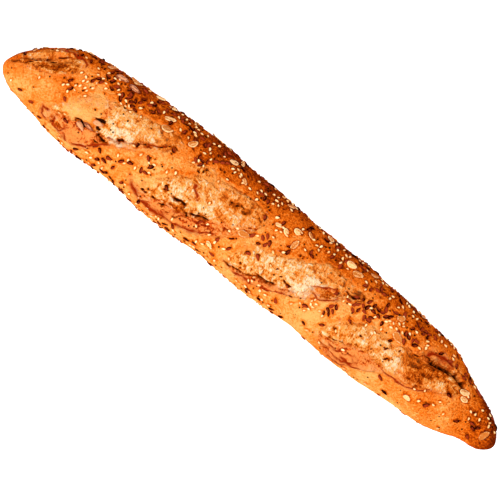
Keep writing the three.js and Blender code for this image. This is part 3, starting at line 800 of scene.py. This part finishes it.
def scattered(count, draw, taken, apart, torn_share, gathered=(), far_side=1, beyond=-100):
    """More places, gathered first and then in clusters, apart mm from the ones already taken."""
    found = []

    def settle(x, a):
        nonlocal taken
        degrees = 360 * draw()
        if np.hypot(taken[:, 0] - x, taken[:, 1] - a).min() >= apart:
            found.append((x, a, degrees))
            taken = np.vstack([taken, (x, a)])

    for middle_x, middle_a, reach_x, reach_a, wanted in gathered:
        for _ in range(wanted):
            settle(middle_x + (2 * draw() - 1) * reach_x, middle_a + (2 * draw() - 1) * reach_a)
    tries = 0
    while len(found) < count and tries < SCATTER_TRIES * count:
        tries += 1
        x = (2 * draw() - 1) * (HALF - SCATTER_BARE_TIP)
        a = (2 * draw() - 1) * NOMINAL_ARC
        crowded = float(smooth(0.5 + rough(x / CLUSTER_SIZE[0], a / CLUSTER_SIZE[1], 71, 2)))
        welcome = welcome_at(x, a) * (BETWEEN_CLUSTERS + IN_CLUSTERS * crowded)
        if abs(a) > FLANK_FROM * NOMINAL_ARC:
            welcome *= far_side if a > 0 else NEAR_SIDE
        if a > beyond and (draw() < welcome or (draw() < torn_share and is_torn(x, a))):
            settle(x, a)
    return found[:count], taken


@functools.cache
def all_places(*counts):
    """Places of every seed and flake, by kind. counts is one number for each kind of SCATTER."""
    places = topping_places()
    draw = draws(SCATTER_START).__next__
    taken = np.array([(x, a) for spots in places.values() for x, a, _ in spots])
    for (kind, how), count in zip(SCATTER.items(), counts):
        more, taken = scattered(count, draw, taken, **how)
        places[kind] = places.get(kind, []) + more
    return places


def places_for(scene):
    """The places for the counts in the scene's settings."""
    return all_places(*(getattr(scene.baguette_seeds, kind) for kind in SCATTER))


# Painted shadow of each seed on the crust, shifted towards the back, away from the key light, in mm.
SEED_SHADOW_WIDTH = 1.2
SEED_SHADOW_SHIFT = 0.5
SEED_SHADOW_STEP = 0.5
SEED_SHADOW_REACH = 2


def painted_seed_shadow(x, a, places):
    """1 in the painted shadow close round a seed, shifted away from the key light, and 0 away from them."""
    step = SEED_SHADOW_STEP
    board = np.zeros((int(2 * HALF / step) + 1, int(2 * NOMINAL_ARC / step) + 1))
    for kind, spots in places.items():
        length, breadth, _ = TOPPING_SIZES[kind]
        reach = length / 2 + SEED_SHADOW_REACH
        for px, pa, degrees in spots:
            i, j = (
                np.arange(max(0, int((middle - reach) / step)), min(count, int((middle + reach) / step)))
                for middle, count in zip((px + HALF, pa + NOMINAL_ARC), board.shape)
            )
            gx, ga = np.meshgrid(i * step - HALF, j * step - NOMINAL_ARC - SEED_SHADOW_SHIFT, indexing="ij")
            out, _ = oval(gx, ga, (px, pa, length, breadth, degrees))
            patch = board[i[0] : i[-1] + 1, j[0] : j[-1] + 1]
            np.maximum(patch, smooth(1 - (out - 1) * breadth / 2 / SEED_SHADOW_WIDTH), out=patch)
    i, j = (
        np.clip((place / step).round().astype(int), 0, count - 1)
        for place, count in zip((x + HALF, a + NOMINAL_ARC), board.shape)
    )
    return board[i, j]


# ---------- meshes


def made(name, operator, **form):
    """A mesh made by one bmesh operator."""
    bm = bmesh.new()
    operator(bm, **form)
    mesh = bpy.data.meshes.new(name)
    bm.to_mesh(mesh)
    bm.free()
    return mesh


def sphere_mesh(name, sides, rings):
    return made(name, bmesh.ops.create_uvsphere, u_segments=sides, v_segments=rings, radius=1)


def add_object(name, data):
    """Puts a new object in the scene."""
    thing = bpy.data.objects.new(name, data)
    bpy.context.scene.collection.objects.link(thing)
    return thing


def finish_piece(name, mesh, material):
    """Puts a mesh in the scene as a smooth piece that rides on the body."""
    mesh.polygons.foreach_set("use_smooth", np.ones(len(mesh.polygons), bool))
    mesh.update()
    mesh.materials.append(material)
    piece = add_object(name, mesh)
    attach(piece, "root")
    return piece


def points_of(mesh):
    flat = np.empty(len(mesh.vertices) * 3)
    mesh.vertices.foreach_get("co", flat)
    return flat.reshape(-1, 3)


def set_points(mesh, points):
    mesh.vertices.foreach_set("co", np.asarray(points, float).ravel())


def write_layer(mesh, name, values):
    layer = mesh.attributes.new(name, "FLOAT", "POINT")
    layer.data.foreach_set("value", np.asarray(values, float))


def read_layer(mesh, name):
    values = np.empty(len(mesh.vertices))
    mesh.attributes[name].data.foreach_get("value", values)
    return values


def copies(name, seeds, matrices, tones):
    """One mesh of many seeds: each matrix places a copy of the next of the seed shapes."""
    points, faces, shades, counts = [], [], [], []
    for number, matrix in enumerate(matrices):
        seed = seeds[number % len(seeds)]
        first = sum(counts)
        points.append(points_of(seed) @ matrix[:3, :3].T + matrix[:3, 3])
        faces.extend([[first + v for v in face.vertices] for face in seed.polygons])
        shades.append(read_layer(seed, "shade"))
        counts.append(len(seed.vertices))
    mesh = bpy.data.meshes.new(name)
    mesh.from_pydata((np.concatenate(points) * MM).tolist(), [], faces)
    write_layer(mesh, "tone", np.repeat(tones, counts))
    write_layer(mesh, "shade", np.concatenate(shades))
    return mesh


def seed_matrices(places, draw, size_spread, lean, sink):
    """Where each seed lies on the crust: lengthwise, across and up, and the seed's own scale."""
    x, a, degrees = np.array(places, float).T
    here, up, along = ground(x, a)
    turn = np.radians(degrees)[:, None]
    heading = along * np.cos(turn) + np.cross(up, along) * np.sin(turn)
    matrices = []
    for k in range(len(places)):
        tilt = Vector((draw() - 0.5, draw() - 0.5, 0)) * lean
        z = unit(up[k] + heading[k] * tilt[0] + np.cross(up[k], heading[k]) * tilt[1])
        x_axis = unit(heading[k] - z * (heading[k] @ z))
        scale = 1 + (draw() - 0.5) * size_spread
        wide = scale * (1 + (draw() - 0.5) * size_spread * 0.7)
        matrix = np.eye(4)
        matrix[:3, 0] = x_axis * scale
        matrix[:3, 1] = np.cross(z, x_axis) * wide
        matrix[:3, 2] = z * scale
        matrix[:3, 3] = here[k] - z * sink * scale
        matrices.append(matrix)
    return matrices


def seed_shape(kind, number, point=0.3, flat=0.3, bow=0, ridge=0, streaks=0, lop=0, rim_from=0.5):
    """A seed lying along X, narrower towards +X, with its lower side flattened.

    number picks one of the kind's uneven shapes. The shade layer is 0 along the middle and 1 round
    the rim, with lengthwise streaks. lop moves the shade from one long side to the other.
    """
    mesh = sphere_mesh(kind, *LOOKS[kind]["faces"])
    p = points_of(mesh)[:, [2, 0, 1]]
    x = p[:, 0]
    angle = np.arctan2(p[:, 1], x)
    uneven = 1 + 0.1 * grain(1.3 * angle, 0.5, number) * (np.abs(p[:, 1]) > 0.01)
    y = p[:, 1] * (1 - point * x) * uneven
    z = np.where(p[:, 2] < 0, p[:, 2] * (1 - flat), p[:, 2])
    z = z + bow * (x**2 - 0.35) + ridge * bell(y / 0.3) * (1 - x**2) * (p[:, 2] > 0)
    half = np.array(LOOKS[kind]["size"]) / 2
    set_points(mesh, np.stack([x, y, z], axis=-1) * half)
    rim = smooth((np.hypot(p[:, 0], p[:, 1]) - rim_from) / (0.9 - rim_from))
    streaked = streaks * grain(0.8 * x, 5.5 * p[:, 1] + 0.3, number + 1)
    write_layer(mesh, "shade", clamp01(rim + streaked + lop * p[:, 1]))
    return mesh


# ---------- shader nodes


def linear(red, green, blue):
    """A display colour, each part from 0 to 255, as linear values."""

    def one(c):
        c /= 255
        return c / 12.92 if c <= 0.04045 else ((c + 0.055) / 1.055) ** 2.4

    return (one(red), one(green), one(blue))


class Value:
    """A node's output. One that carries a number can be used in Python expressions."""

    def __init__(self, paint, socket):
        self.paint = paint
        self.socket = socket

    def math(self, operation, left, right):
        settings = {"operation": operation}
        return self.paint.node("ShaderNodeMath", settings, {0: left, 1: right})

    def __add__(self, other):
        return self.math("ADD", self, other)

    def __sub__(self, other):
        return self.math("SUBTRACT", self, other)

    def __rsub__(self, other):
        return self.math("SUBTRACT", other, self)

    def __mul__(self, other):
        return self.math("MULTIPLY", self, other)

    __radd__ = __add__
    __rmul__ = __mul__

    def above(self, low, high):
        """0 under low and 1 over high, smoothly."""
        settings = {"interpolation_type": "SMOOTHSTEP"}
        return self.paint.node("ShaderNodeMapRange", settings, {0: self, 1: low, 2: high})


class Paint:
    """One material's nodes."""

    def __init__(self, name):
        self.material = bpy.data.materials.new(name)
        self.material.use_nodes = True
        self.tree = self.material.node_tree
        self.shader = self.tree.nodes["Principled BSDF"]
        self.place = self.node("ShaderNodeTexCoord", output="Object")

    def node(self, kind, settings=None, inputs=None, output=0):
        """Adds a node: settings first, then each input as a number, a colour or a link."""
        node = self.tree.nodes.new(kind)
        for key, item in (settings or {}).items():
            if key == "stops":
                self.set_stops(node.color_ramp.elements, item)
            else:
                setattr(node, key, item)
        for key, item in (inputs or {}).items():
            self.feed(node.inputs[key], item)
        return Value(self, node.outputs[output])

    def set_stops(self, elements, stops):
        while len(elements) < len(stops):
            elements.new(1)
        for element, (position, colour) in zip(elements, stops):
            element.position = position
            element.color = (*colour, 1)

    def feed(self, socket, item):
        if isinstance(item, Value):
            self.tree.links.new(item.socket, socket)
        elif socket.type == "RGBA":
            socket.default_value = (*item, 1)
        else:
            socket.default_value = item

    def mix(self, factor, low, high):
        inputs = {0: factor, 6: low, 7: high}
        return self.node("ShaderNodeMix", {"data_type": "RGBA"}, inputs, 2)

    def ramp(self, level, stops):
        """A colour for each level from 0 to 1."""
        return self.node("ShaderNodeValToRGB", {"stops": stops}, {0: level})

    def layer(self, name):
        return self.node("ShaderNodeAttribute", {"attribute_name": name}, output="Fac")

    def turned(self, degrees, stretch):
        """Object coordinates turned round Z, and drawn out along each turned axis."""
        inputs = {"Vector": self.place, "Rotation": (0, 0, math.radians(degrees)), "Scale": stretch}
        return self.node("ShaderNodeMapping", {"vector_type": "TEXTURE"}, inputs)

    def noise(self, size_mm, detail, roughness=0.55, place=None):
        inputs = {
            "Vector": place or self.place,
            "Scale": 1 / (size_mm * MM),
            "Detail": detail,
            "Roughness": roughness,
        }
        return self.node("ShaderNodeTexNoise", None, inputs)

    def dots(self, apart_mm, radius_mm):
        """1 in scattered dots and 0 between them."""
        inputs = {"Vector": self.place, "Scale": 1 / (apart_mm * MM)}
        far = self.node("ShaderNodeTexVoronoi", None, inputs, "Distance")
        return 1 - far.above(radius_mm / apart_mm, (radius_mm + DOT_BLUR) / apart_mm)

    def bump(self, height, depth_mm):
        return self.node("ShaderNodeBump", None, {"Height": height, "Distance": depth_mm * MM})

    def finish(self, **sockets):
        """Feeds the shader: the names are its sockets, with _ for spaces."""
        for name, item in sockets.items():
            self.feed(self.shader.inputs[name.replace("_", " ")], item)
        return self.material


# ---------- materials

CRUST_LIGHT = linear(252, 174, 94)
CRUST_GOLD = linear(248, 137, 52)
CRUST_ORANGE = linear(229, 103, 14)
CRUST_BROWN = linear(186, 71, 6)
CRUST_DARK = linear(113, 32, 3)
CRUMB_CREAM = linear(255, 220, 176)
CRUMB_PALE = linear(251, 179, 103)
CRUMB_WARM = linear(244, 143, 56)
CRUMB_TAN = linear(216, 102, 19)
CRUMB_UMBER = linear(178, 70, 5)
CRUMB_DEEP = linear(102, 35, 4)
EAR_LIGHT = linear(252, 148, 71)
EAR_RED = linear(219, 89, 24)
EAR_DARK = linear(148, 35, 4)
# Dark red of the ears' edges: partly burnt crust and partly painted shadow under the lip.
BURNT_AND_SHADOW = linear(162, 42, 4)
# Near-black painted shade at the bottom of rifts and holes.
PIT_SHADE = linear(41, 13, 2)
FRECKLE = linear(72, 22, 2)
DOT_BLUR = 0.2


def crust_material(settings):
    """Skin, torn crumb and ear by their layers, each with noises of a size given in mm."""
    paint = Paint("baked_crust")
    torn, tone, ear, line, deep, bake = (
        paint.layer(name) for name in ("torn", "tone", "ear", "line", "deep", "bake")
    )
    blotch = paint.noise(16, 3)
    patch = paint.noise(6.5, 2)
    mottle = paint.noise(3.2, 3, 0.65)
    speck = paint.noise(1.6, 2, 0.7)
    fibre = paint.noise(1, 2, 0.6, paint.turned(25, (0.9, 3.6, 2)))
    level = bake + (blotch - 0.5) * 0.5 + (mottle - 0.5) * 0.6 + (speck - 0.5) * (0.35 + bake)
    skin = paint.ramp(
        level,
        [
            (0.05, settings.crust_light),
            (0.25, settings.crust_gold),
            (0.5, CRUST_ORANGE),
            (0.72, settings.crust_brown),
            (1, CRUST_DARK),
        ],
    )
    level = 0.64 + tone + (mottle - 0.5) * 1.3 + (patch - 0.5) * 1.1 + (blotch - 0.5) * 0.3
    strands = paint.noise(1, 2, 0.5, paint.turned(6, (0.75, 6.5, 2))).above(0.55, 0.64)
    grainy = (fibre - 0.5) * 0.8 + (speck - 0.5) * 0.55 - strands * 0.3
    crumb = paint.ramp(
        level + grainy * (0.3 + 0.85 * level),
        [
            (0, CRUMB_DEEP),
            (0.16, CRUMB_UMBER),
            (0.34, CRUMB_TAN),
            (0.5, settings.crumb_warm),
            (0.76, settings.crumb_pale),
            (1, CRUMB_CREAM),
        ],
    )
    burnt_lip = [(0.1, EAR_DARK), (0.36, EAR_RED), (0.68, EAR_LIGHT)]
    lip = paint.ramp(level + (speck - 0.5) * 1.3, burnt_lip)
    colour = paint.mix(torn, skin, paint.mix(ear, crumb, lip))
    freckled = blotch.above(0.44, 0.6)
    colour = paint.mix(paint.dots(8.5, 0.75) * 0.95, colour, FRECKLE)
    colour = paint.mix(paint.dots(3.1, 0.42) * freckled * 0.45, colour, CRUMB_DEEP)
    # Burnt edges and the painted shadow under the lips.
    colour = paint.mix(line * (0.85 + 0.7 * mottle), colour, BURNT_AND_SHADOW)
    # The deep mask paints shade into rifts and holes: umber first, then the near-black pit shade.
    colour = paint.mix(deep.above(0, 0.5), colour, CRUMB_UMBER)
    colour = paint.mix(deep.above(0.35, 0.9), colour, PIT_SHADE)
    height = mottle + speck * 0.5 + fibre * torn * 0.6
    return paint.finish(
        Base_Color=colour,
        Roughness=0.5 + 0.35 * torn + 0.1 * mottle,
        Normal=paint.bump(height, 3.2),
        Specular_IOR_Level=0,
        Subsurface_Weight=0.05,
        Subsurface_Radius=(1, 0.5, 0.25),
        Subsurface_Scale=0.0015,
    )


def seed_material(name, middle, rim, roughness=0.5, gloss=0.1, depth=0.1, variety=0.5, flecks=0.6):
    """A seed's finish: one colour along its middle and another round its rim."""
    paint = Paint(name)
    tone = paint.layer("tone")
    shade = paint.layer("shade")
    fleck = paint.noise(0.8, 2)
    level = shade * 0.9 + (tone - 0.5) * variety + (fleck - 0.5) * flecks
    return paint.finish(
        Base_Color=paint.mix(level.above(0, 1), middle, rim),
        Roughness=roughness,
        Normal=paint.bump(fleck, depth),
        Specular_IOR_Level=gloss,
    )


# How each kind looks: its sphere has faces (sides, rings), shapes numbers its uneven forms, colours
# are those of its middle and rim, and start is where its draws start. form, finish and lie are what
# seed_shape, seed_material and seed_matrices take.
LOOKS = {
    "kernel": {
        "piece": "sunflower_kernels", "material": "sunflower", "start": 91,
        "size": KERNEL["size"], "faces": (18, 12), "shapes": (1, 2, 3),
        "form": {"point": 0.35, "flat": 0.4, "bow": 0.1, "ridge": 0.3, "streaks": 0.9},
        # Kernels: the dark rim is partly the kernel's own colour and partly painted shade round its edge.
        "colours": (linear(222, 148, 100), linear(121, 51, 24)),
        "finish": {"depth": 0.3, "variety": 0.6, "flecks": 1.8},
        "lie": {"size_spread": 0.25, "lean": 0.3, "sink": -0.1},
    },
    "flake": {
        "piece": "cereal_flakes", "material": "cereal", "start": 92,
        "size": FLAKE["size"], "faces": (20, 10), "shapes": (4, 5, 6),
        "form": {"point": 0.15, "flat": 0.6, "bow": 0.6, "ridge": -0.9, "streaks": 1.2, "rim_from": 0.65},
        "colours": (linear(195, 106, 34), linear(252, 201, 138)),
        "finish": {"roughness": 0.55, "depth": 0.4, "variety": 1.2, "flecks": 2.2},
        "lie": {"size_spread": 0.5, "lean": 0.5, "sink": -0.3},
    },
    "flax": {
        "piece": "flax_seeds", "material": "flax", "start": 93,
        "size": np.array(FLAX["size"]) * FLAX_FULLNESS, "faces": (8, 6), "shapes": (0,),
        # Flax: the light middle is a painted highlight, lop a painted lit side, and the dark rim painted
        # shade round the edge.
        "form": {"point": 0.32, "lop": 0.9, "rim_from": 0.3},
        "colours": (linear(146, 50, 22), linear(38, 2, 0)),
        "finish": {"gloss": 0, "depth": 0.05, "variety": 0.9, "flecks": 1.2},
        "lie": {"size_spread": 0.3, "lean": 0.5, "sink": -0.15},
    },
    "sesame": {
        "piece": "sesame_seeds", "material": "sesame", "start": 94,
        "size": SESAME_SIZE, "faces": (8, 6), "shapes": (0,),
        "form": {"point": 0.38},
        # Sesame: the orange rim is painted shade round the seed's edge.
        "colours": (linear(255, 218, 159), linear(219, 134, 53)),
        "finish": {},
        "lie": {"size_spread": 0.3, "lean": 0.5, "sink": -0.25},
    },
    "poppy": {
        "piece": "poppy_seeds", "material": "poppy", "start": 95,
        "size": POPPY_SIZE, "faces": (6, 4), "shapes": (0,),
        "form": {"point": 0.1, "flat": 0},
        "colours": (linear(49, 24, 5), linear(18, 7, 2)),
        "finish": {"roughness": 0.6, "gloss": 0, "depth": 0.05},
        "lie": {"size_spread": 0.5, "lean": 0.3, "sink": -0.05},
    },
}


# ---------- settings


def setting(kind, name, description, default, **limits):
    """One property of a settings group."""
    return kind(name=name, description=description, default=default, **limits)


def tint(name, description, default):
    """A colour property."""
    return setting(FloatVectorProperty, name, description, default, subtype="COLOR", min=0, max=1)


class LoafSettings(bpy.types.PropertyGroup):
    """What a user may change on the loaf."""

    sides: setting(IntProperty, "Sides", "Faces round the loaf", 180, min=40)
    rings: setting(IntProperty, "Rings", "Faces along the loaf", 540, min=80)
    crust_light: tint("Light crust", "Crust that baked least", CRUST_LIGHT)
    crust_gold: tint("Golden crust", "Crust on most of the loaf", CRUST_GOLD)
    crust_brown: tint("Brown crust", "Crust on the back and the nose", CRUST_BROWN)
    crumb_pale: tint("Pale crumb", "The lightest torn crumb", CRUMB_PALE)
    crumb_warm: tint("Warm crumb", "Most of the torn crumb", CRUMB_WARM)


class SeedSettings(bpy.types.PropertyGroup):
    """How many seeds and flakes there are besides the solid's."""

    flake: setting(IntProperty, "Cereal flakes", "Flakes besides the solid's", 10, min=1)
    flax: setting(IntProperty, "Flax seeds", "Flax seeds besides the solid's", 300, min=1)
    sesame: setting(IntProperty, "Sesame seeds", "Number of sesame seeds", 500, min=1)
    poppy: setting(IntProperty, "Poppy seeds", "Number of poppy seeds", 420, min=1)


class StageSettings(bpy.types.PropertyGroup):
    """Camera, floor and lights."""

    elevation: setting(FloatProperty, "Elevation", "Height of the view", math.radians(82), subtype="ANGLE")
    roll: setting(FloatProperty, "Roll", "Turn of the picture", math.radians(38.9), subtype="ANGLE")
    distance: setting(FloatProperty, "Distance", "Camera to loaf", 4.456, unit="LENGTH", min=0.3)
    lens: setting(FloatProperty, "Lens", "Focal length in mm", 400, min=10)
    key: setting(FloatProperty, "Key light", "Power of the main light", 27, unit="POWER")
    fill: setting(FloatProperty, "Fill light", "Power of the top light", 18, unit="POWER")
    ambient: setting(FloatProperty, "Ambient", "Brightness all round", 0.475, min=0)
    floor: tint("Floor", "Colour of the floor", (0.93, 0.93, 0.93))
    glow: setting(FloatProperty, "Glow", "Light given by the floor", 0.6, min=0)


# ---------- operators


BROWNED = 0.3
VEIL_PALE = 0.22
# Painted shadow round each seed: how much it lowers the crumb's tone and raises the crust's bake.
SEED_SHADOW_TONE = 0.3
SEED_SHADOW_BAKE = 0.32
# How much closer the faces lie on the top than on the sole, and how near a pole counts as on it.
TOP_CLOSENESS = 0.52
POLE = 1e-6


def bake_level(x, share, masks):
    """How dark each part of the crust is: darkest on the back, partly baked and partly painted shade away
    from the key light, and baked most on the nose and the blunt tip.

    Each part is a share of darkness times smooth((place - where it starts) / how far it spreads).
    """
    a = share * half_perimeter(x)
    drift = 0.05 * rough(x / 26, a / 20, 921, 2)
    # The back is darker partly as baked colour and partly as painted shade on the side turned from the key
    # light.
    round_back = 0.4 * a / NOMINAL_ARC + 0.6 * share + drift
    back = smooth((round_back - 0.1) / 0.2) * 0.34 + smooth((round_back - 0.22) / 0.2) * 0.34
    nose_back = 0.24 * smooth((x - 208) / 30) * smooth((share + 0.1) / 0.2)
    nose = 0.46 * smooth((x - 200) / 40) + 0.36 * smooth((x - 236) / 14) + nose_back
    front_nose = 0.12 * smooth((x - 150) / 50) * smooth((-share) / 0.2)
    tip = 0.2 * smooth((-x - 222) / 28)
    front_low = 0.16 * smooth((-share - 0.46) / 0.3)
    sole = 0.5 * smooth((np.abs(share) - 0.7) / 0.2)
    patches = 0.16 * rough(x / 30, a / 22, 931, 2)
    pale_front = 0.05 * smooth(1.4 - np.abs(x) / 120) * smooth((-share - 0.02) / 0.15)
    level = 0.2 + back + nose + front_nose + tip + front_low + sole + patches - pale_front
    return level + BROWNED * masks["browned"] - VEIL_PALE * veiled(x, a)


def ring_x(part):
    """Station of a ring: even along the loaf, then closing up round each tip."""
    signed = 2 * part - 1
    cap = np.where(signed < 0, TIP_BLUNT, TIP_NOSE)
    straight = HALF - cap
    turn = straight / (straight + cap * math.pi / 2)
    e = np.abs(signed)
    round_end = straight + cap * np.sin(clamp01((e - turn) / (1 - turn)) * math.pi / 2)
    return np.sign(signed) * np.where(e < turn, straight * e / turn, round_end)


class BAGUETTE_OT_loaf(bpy.types.Operator):
    """Build the slashed loaf with its torn crumb"""

    bl_idname = "baguette.loaf"
    bl_label = "Loaf"

    def execute(self, context):
        settings = context.scene.baguette_loaf
        mesh = sphere_mesh("crust_and_crumb", settings.sides, settings.rings)
        p = points_of(mesh)
        part = np.arccos(np.clip(p[:, 2], -1, 1)) / math.pi
        turn = np.arctan2(p[:, 1], p[:, 0]) / math.pi
        turn = np.where(part * (1 - part) < POLE, 0, turn)
        x = ring_x(part)
        share = turn * (TOP_CLOSENESS + (1 - TOP_CLOSENESS) * turn * turn)
        points, masks = crust(x, share)
        set_points(mesh, points * MM)
        # Painted shadow round each seed, darkening the tone and the bake.
        seed_shadow = painted_seed_shadow(x, share * half_perimeter(x), places_for(context.scene))
        masks["tone"] -= SEED_SHADOW_TONE * seed_shadow
        for name in MASKS:
            write_layer(mesh, name, masks[name])
        write_layer(mesh, "bake", bake_level(x, share, masks) + SEED_SHADOW_BAKE * seed_shadow)
        bm = bmesh.new()
        bm.from_mesh(mesh)
        bmesh.ops.recalc_face_normals(bm, faces=bm.faces)
        bm.to_mesh(mesh)
        bm.free()
        piece = finish_piece("crust_and_crumb", mesh, crust_material(settings))
        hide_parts("loaf")
        return {"FINISHED"}


class BAGUETTE_OT_toppings(bpy.types.Operator):
    """Lay the sunflower kernels, cereal flakes and seeds, each kind as one piece"""

    bl_idname = "baguette.toppings"
    bl_label = "Toppings"

    def execute(self, context):
        for kind, places in places_for(context.scene).items():
            look = LOOKS[kind]
            draw = draws(look["start"]).__next__
            shapes = [seed_shape(kind, number, **look["form"]) for number in look["shapes"]]
            material = seed_material(look["material"], *look["colours"], **look["finish"])
            matrices = seed_matrices(places, draw, **look["lie"])
            tones = [draw() for _ in places]
            finish_piece(look["piece"], copies(look["piece"], shapes, matrices, tones), material)
        return {"FINISHED"}


# Sizes and places on the stage, in metres.
FLOOR_HALF = 3
KEY_PLACE = (-0.35, -1.05, 1.45)
KEY_SIZE = 0.3
KEY_COLOUR = (1, 0.985, 0.96)
TOP_PLACE = (0.1, 0.3, 1.7)
TOP_SIZE = 1.6
LIT_POINT = (0, 0, 0.03)
CAMERA_AIM = (-0.0016, -0.0121, 0.0285)
SENSOR_MM = 36


def area_light(name, place, size, power, colour=(1, 1, 1)):
    """A round light turned to the loaf."""
    data = bpy.data.lights.new(name, "AREA")
    data.shape = "DISK"
    data.size = size
    data.energy = power
    data.color = colour
    lamp = add_object(name, data)
    lamp.location = place
    lamp.rotation_euler = (Vector(LIT_POINT) - Vector(place)).to_track_quat("-Z", "Y").to_euler()


class BAGUETTE_OT_stage(bpy.types.Operator):
    """Add the floor, the lights and the camera"""

    bl_idname = "baguette.stage"
    bl_label = "Stage"

    def execute(self, context):
        settings = context.scene.baguette_stage
        scene = context.scene
        mesh = made("floor", bmesh.ops.create_grid, x_segments=8, y_segments=8, size=FLOOR_HALF)
        paint = Paint("pale_floor")
        mesh.materials.append(
            paint.finish(
                Base_Color=settings.floor,
                Roughness=0.9,
                Emission_Color=(1, 1, 1),
                Emission_Strength=settings.glow,
            )
        )
        floor = add_object("floor", mesh)

        area_light("key", KEY_PLACE, KEY_SIZE, settings.key, KEY_COLOUR)
        area_light("top", TOP_PLACE, TOP_SIZE, settings.fill)
        scene.world = bpy.data.worlds.new("studio")
        scene.world.use_nodes = True
        background = scene.world.node_tree.nodes["Background"]
        background.inputs["Color"].default_value = (1, 1, 1, 1)
        background.inputs["Strength"].default_value = settings.ambient

        tilt = settings.elevation
        roll = settings.roll
        toward = Vector((0, -math.cos(tilt), math.sin(tilt)))
        upright = toward.cross(Vector((1, 0, 0)))
        right = Vector((1, 0, 0)) * math.cos(roll) + upright * math.sin(roll)
        turn = Matrix((right, toward.cross(right), toward)).transposed().to_4x4()
        data = bpy.data.cameras.new("camera")
        data.lens = settings.lens
        data.sensor_width = SENSOR_MM
        scene.camera = add_object("camera", data)
        place = Vector(CAMERA_AIM) + toward * settings.distance
        scene.camera.matrix_world = Matrix.Translation(place) @ turn
        scene.view_settings.view_transform = "Standard"
        return {"FINISHED"}


class BAGUETTE_PT_panel(bpy.types.Panel):
    """Lists the baguette's pieces"""

    bl_idname = "BAGUETTE_PT_panel"
    bl_label = "Baguette"
    bl_space_type = "VIEW_3D"
    bl_region_type = "UI"
    bl_category = "Baguette"

    def draw(self, context):
        for operator in OPERATORS:
            self.layout.operator(operator.bl_idname)


OPERATORS = (BAGUETTE_OT_stage, BAGUETTE_OT_loaf, BAGUETTE_OT_toppings)
CLASSES = (LoafSettings, SeedSettings, StageSettings, *OPERATORS, BAGUETTE_PT_panel)


def register():
    for cls in CLASSES:
        bpy.utils.register_class(cls)
    bpy.types.Scene.baguette_loaf = PointerProperty(type=LoafSettings)
    bpy.types.Scene.baguette_seeds = PointerProperty(type=SeedSettings)
    bpy.types.Scene.baguette_stage = PointerProperty(type=StageSettings)


def unregister():
    del bpy.types.Scene.baguette_stage
    del bpy.types.Scene.baguette_seeds
    del bpy.types.Scene.baguette_loaf
    for cls in reversed(CLASSES):
        bpy.utils.unregister_class(cls)


def main():
    register()
    bpy.ops.baguette.stage()
    bpy.ops.baguette.loaf()
    bpy.ops.baguette.toppings()


if __name__ == "__main__":
    main()
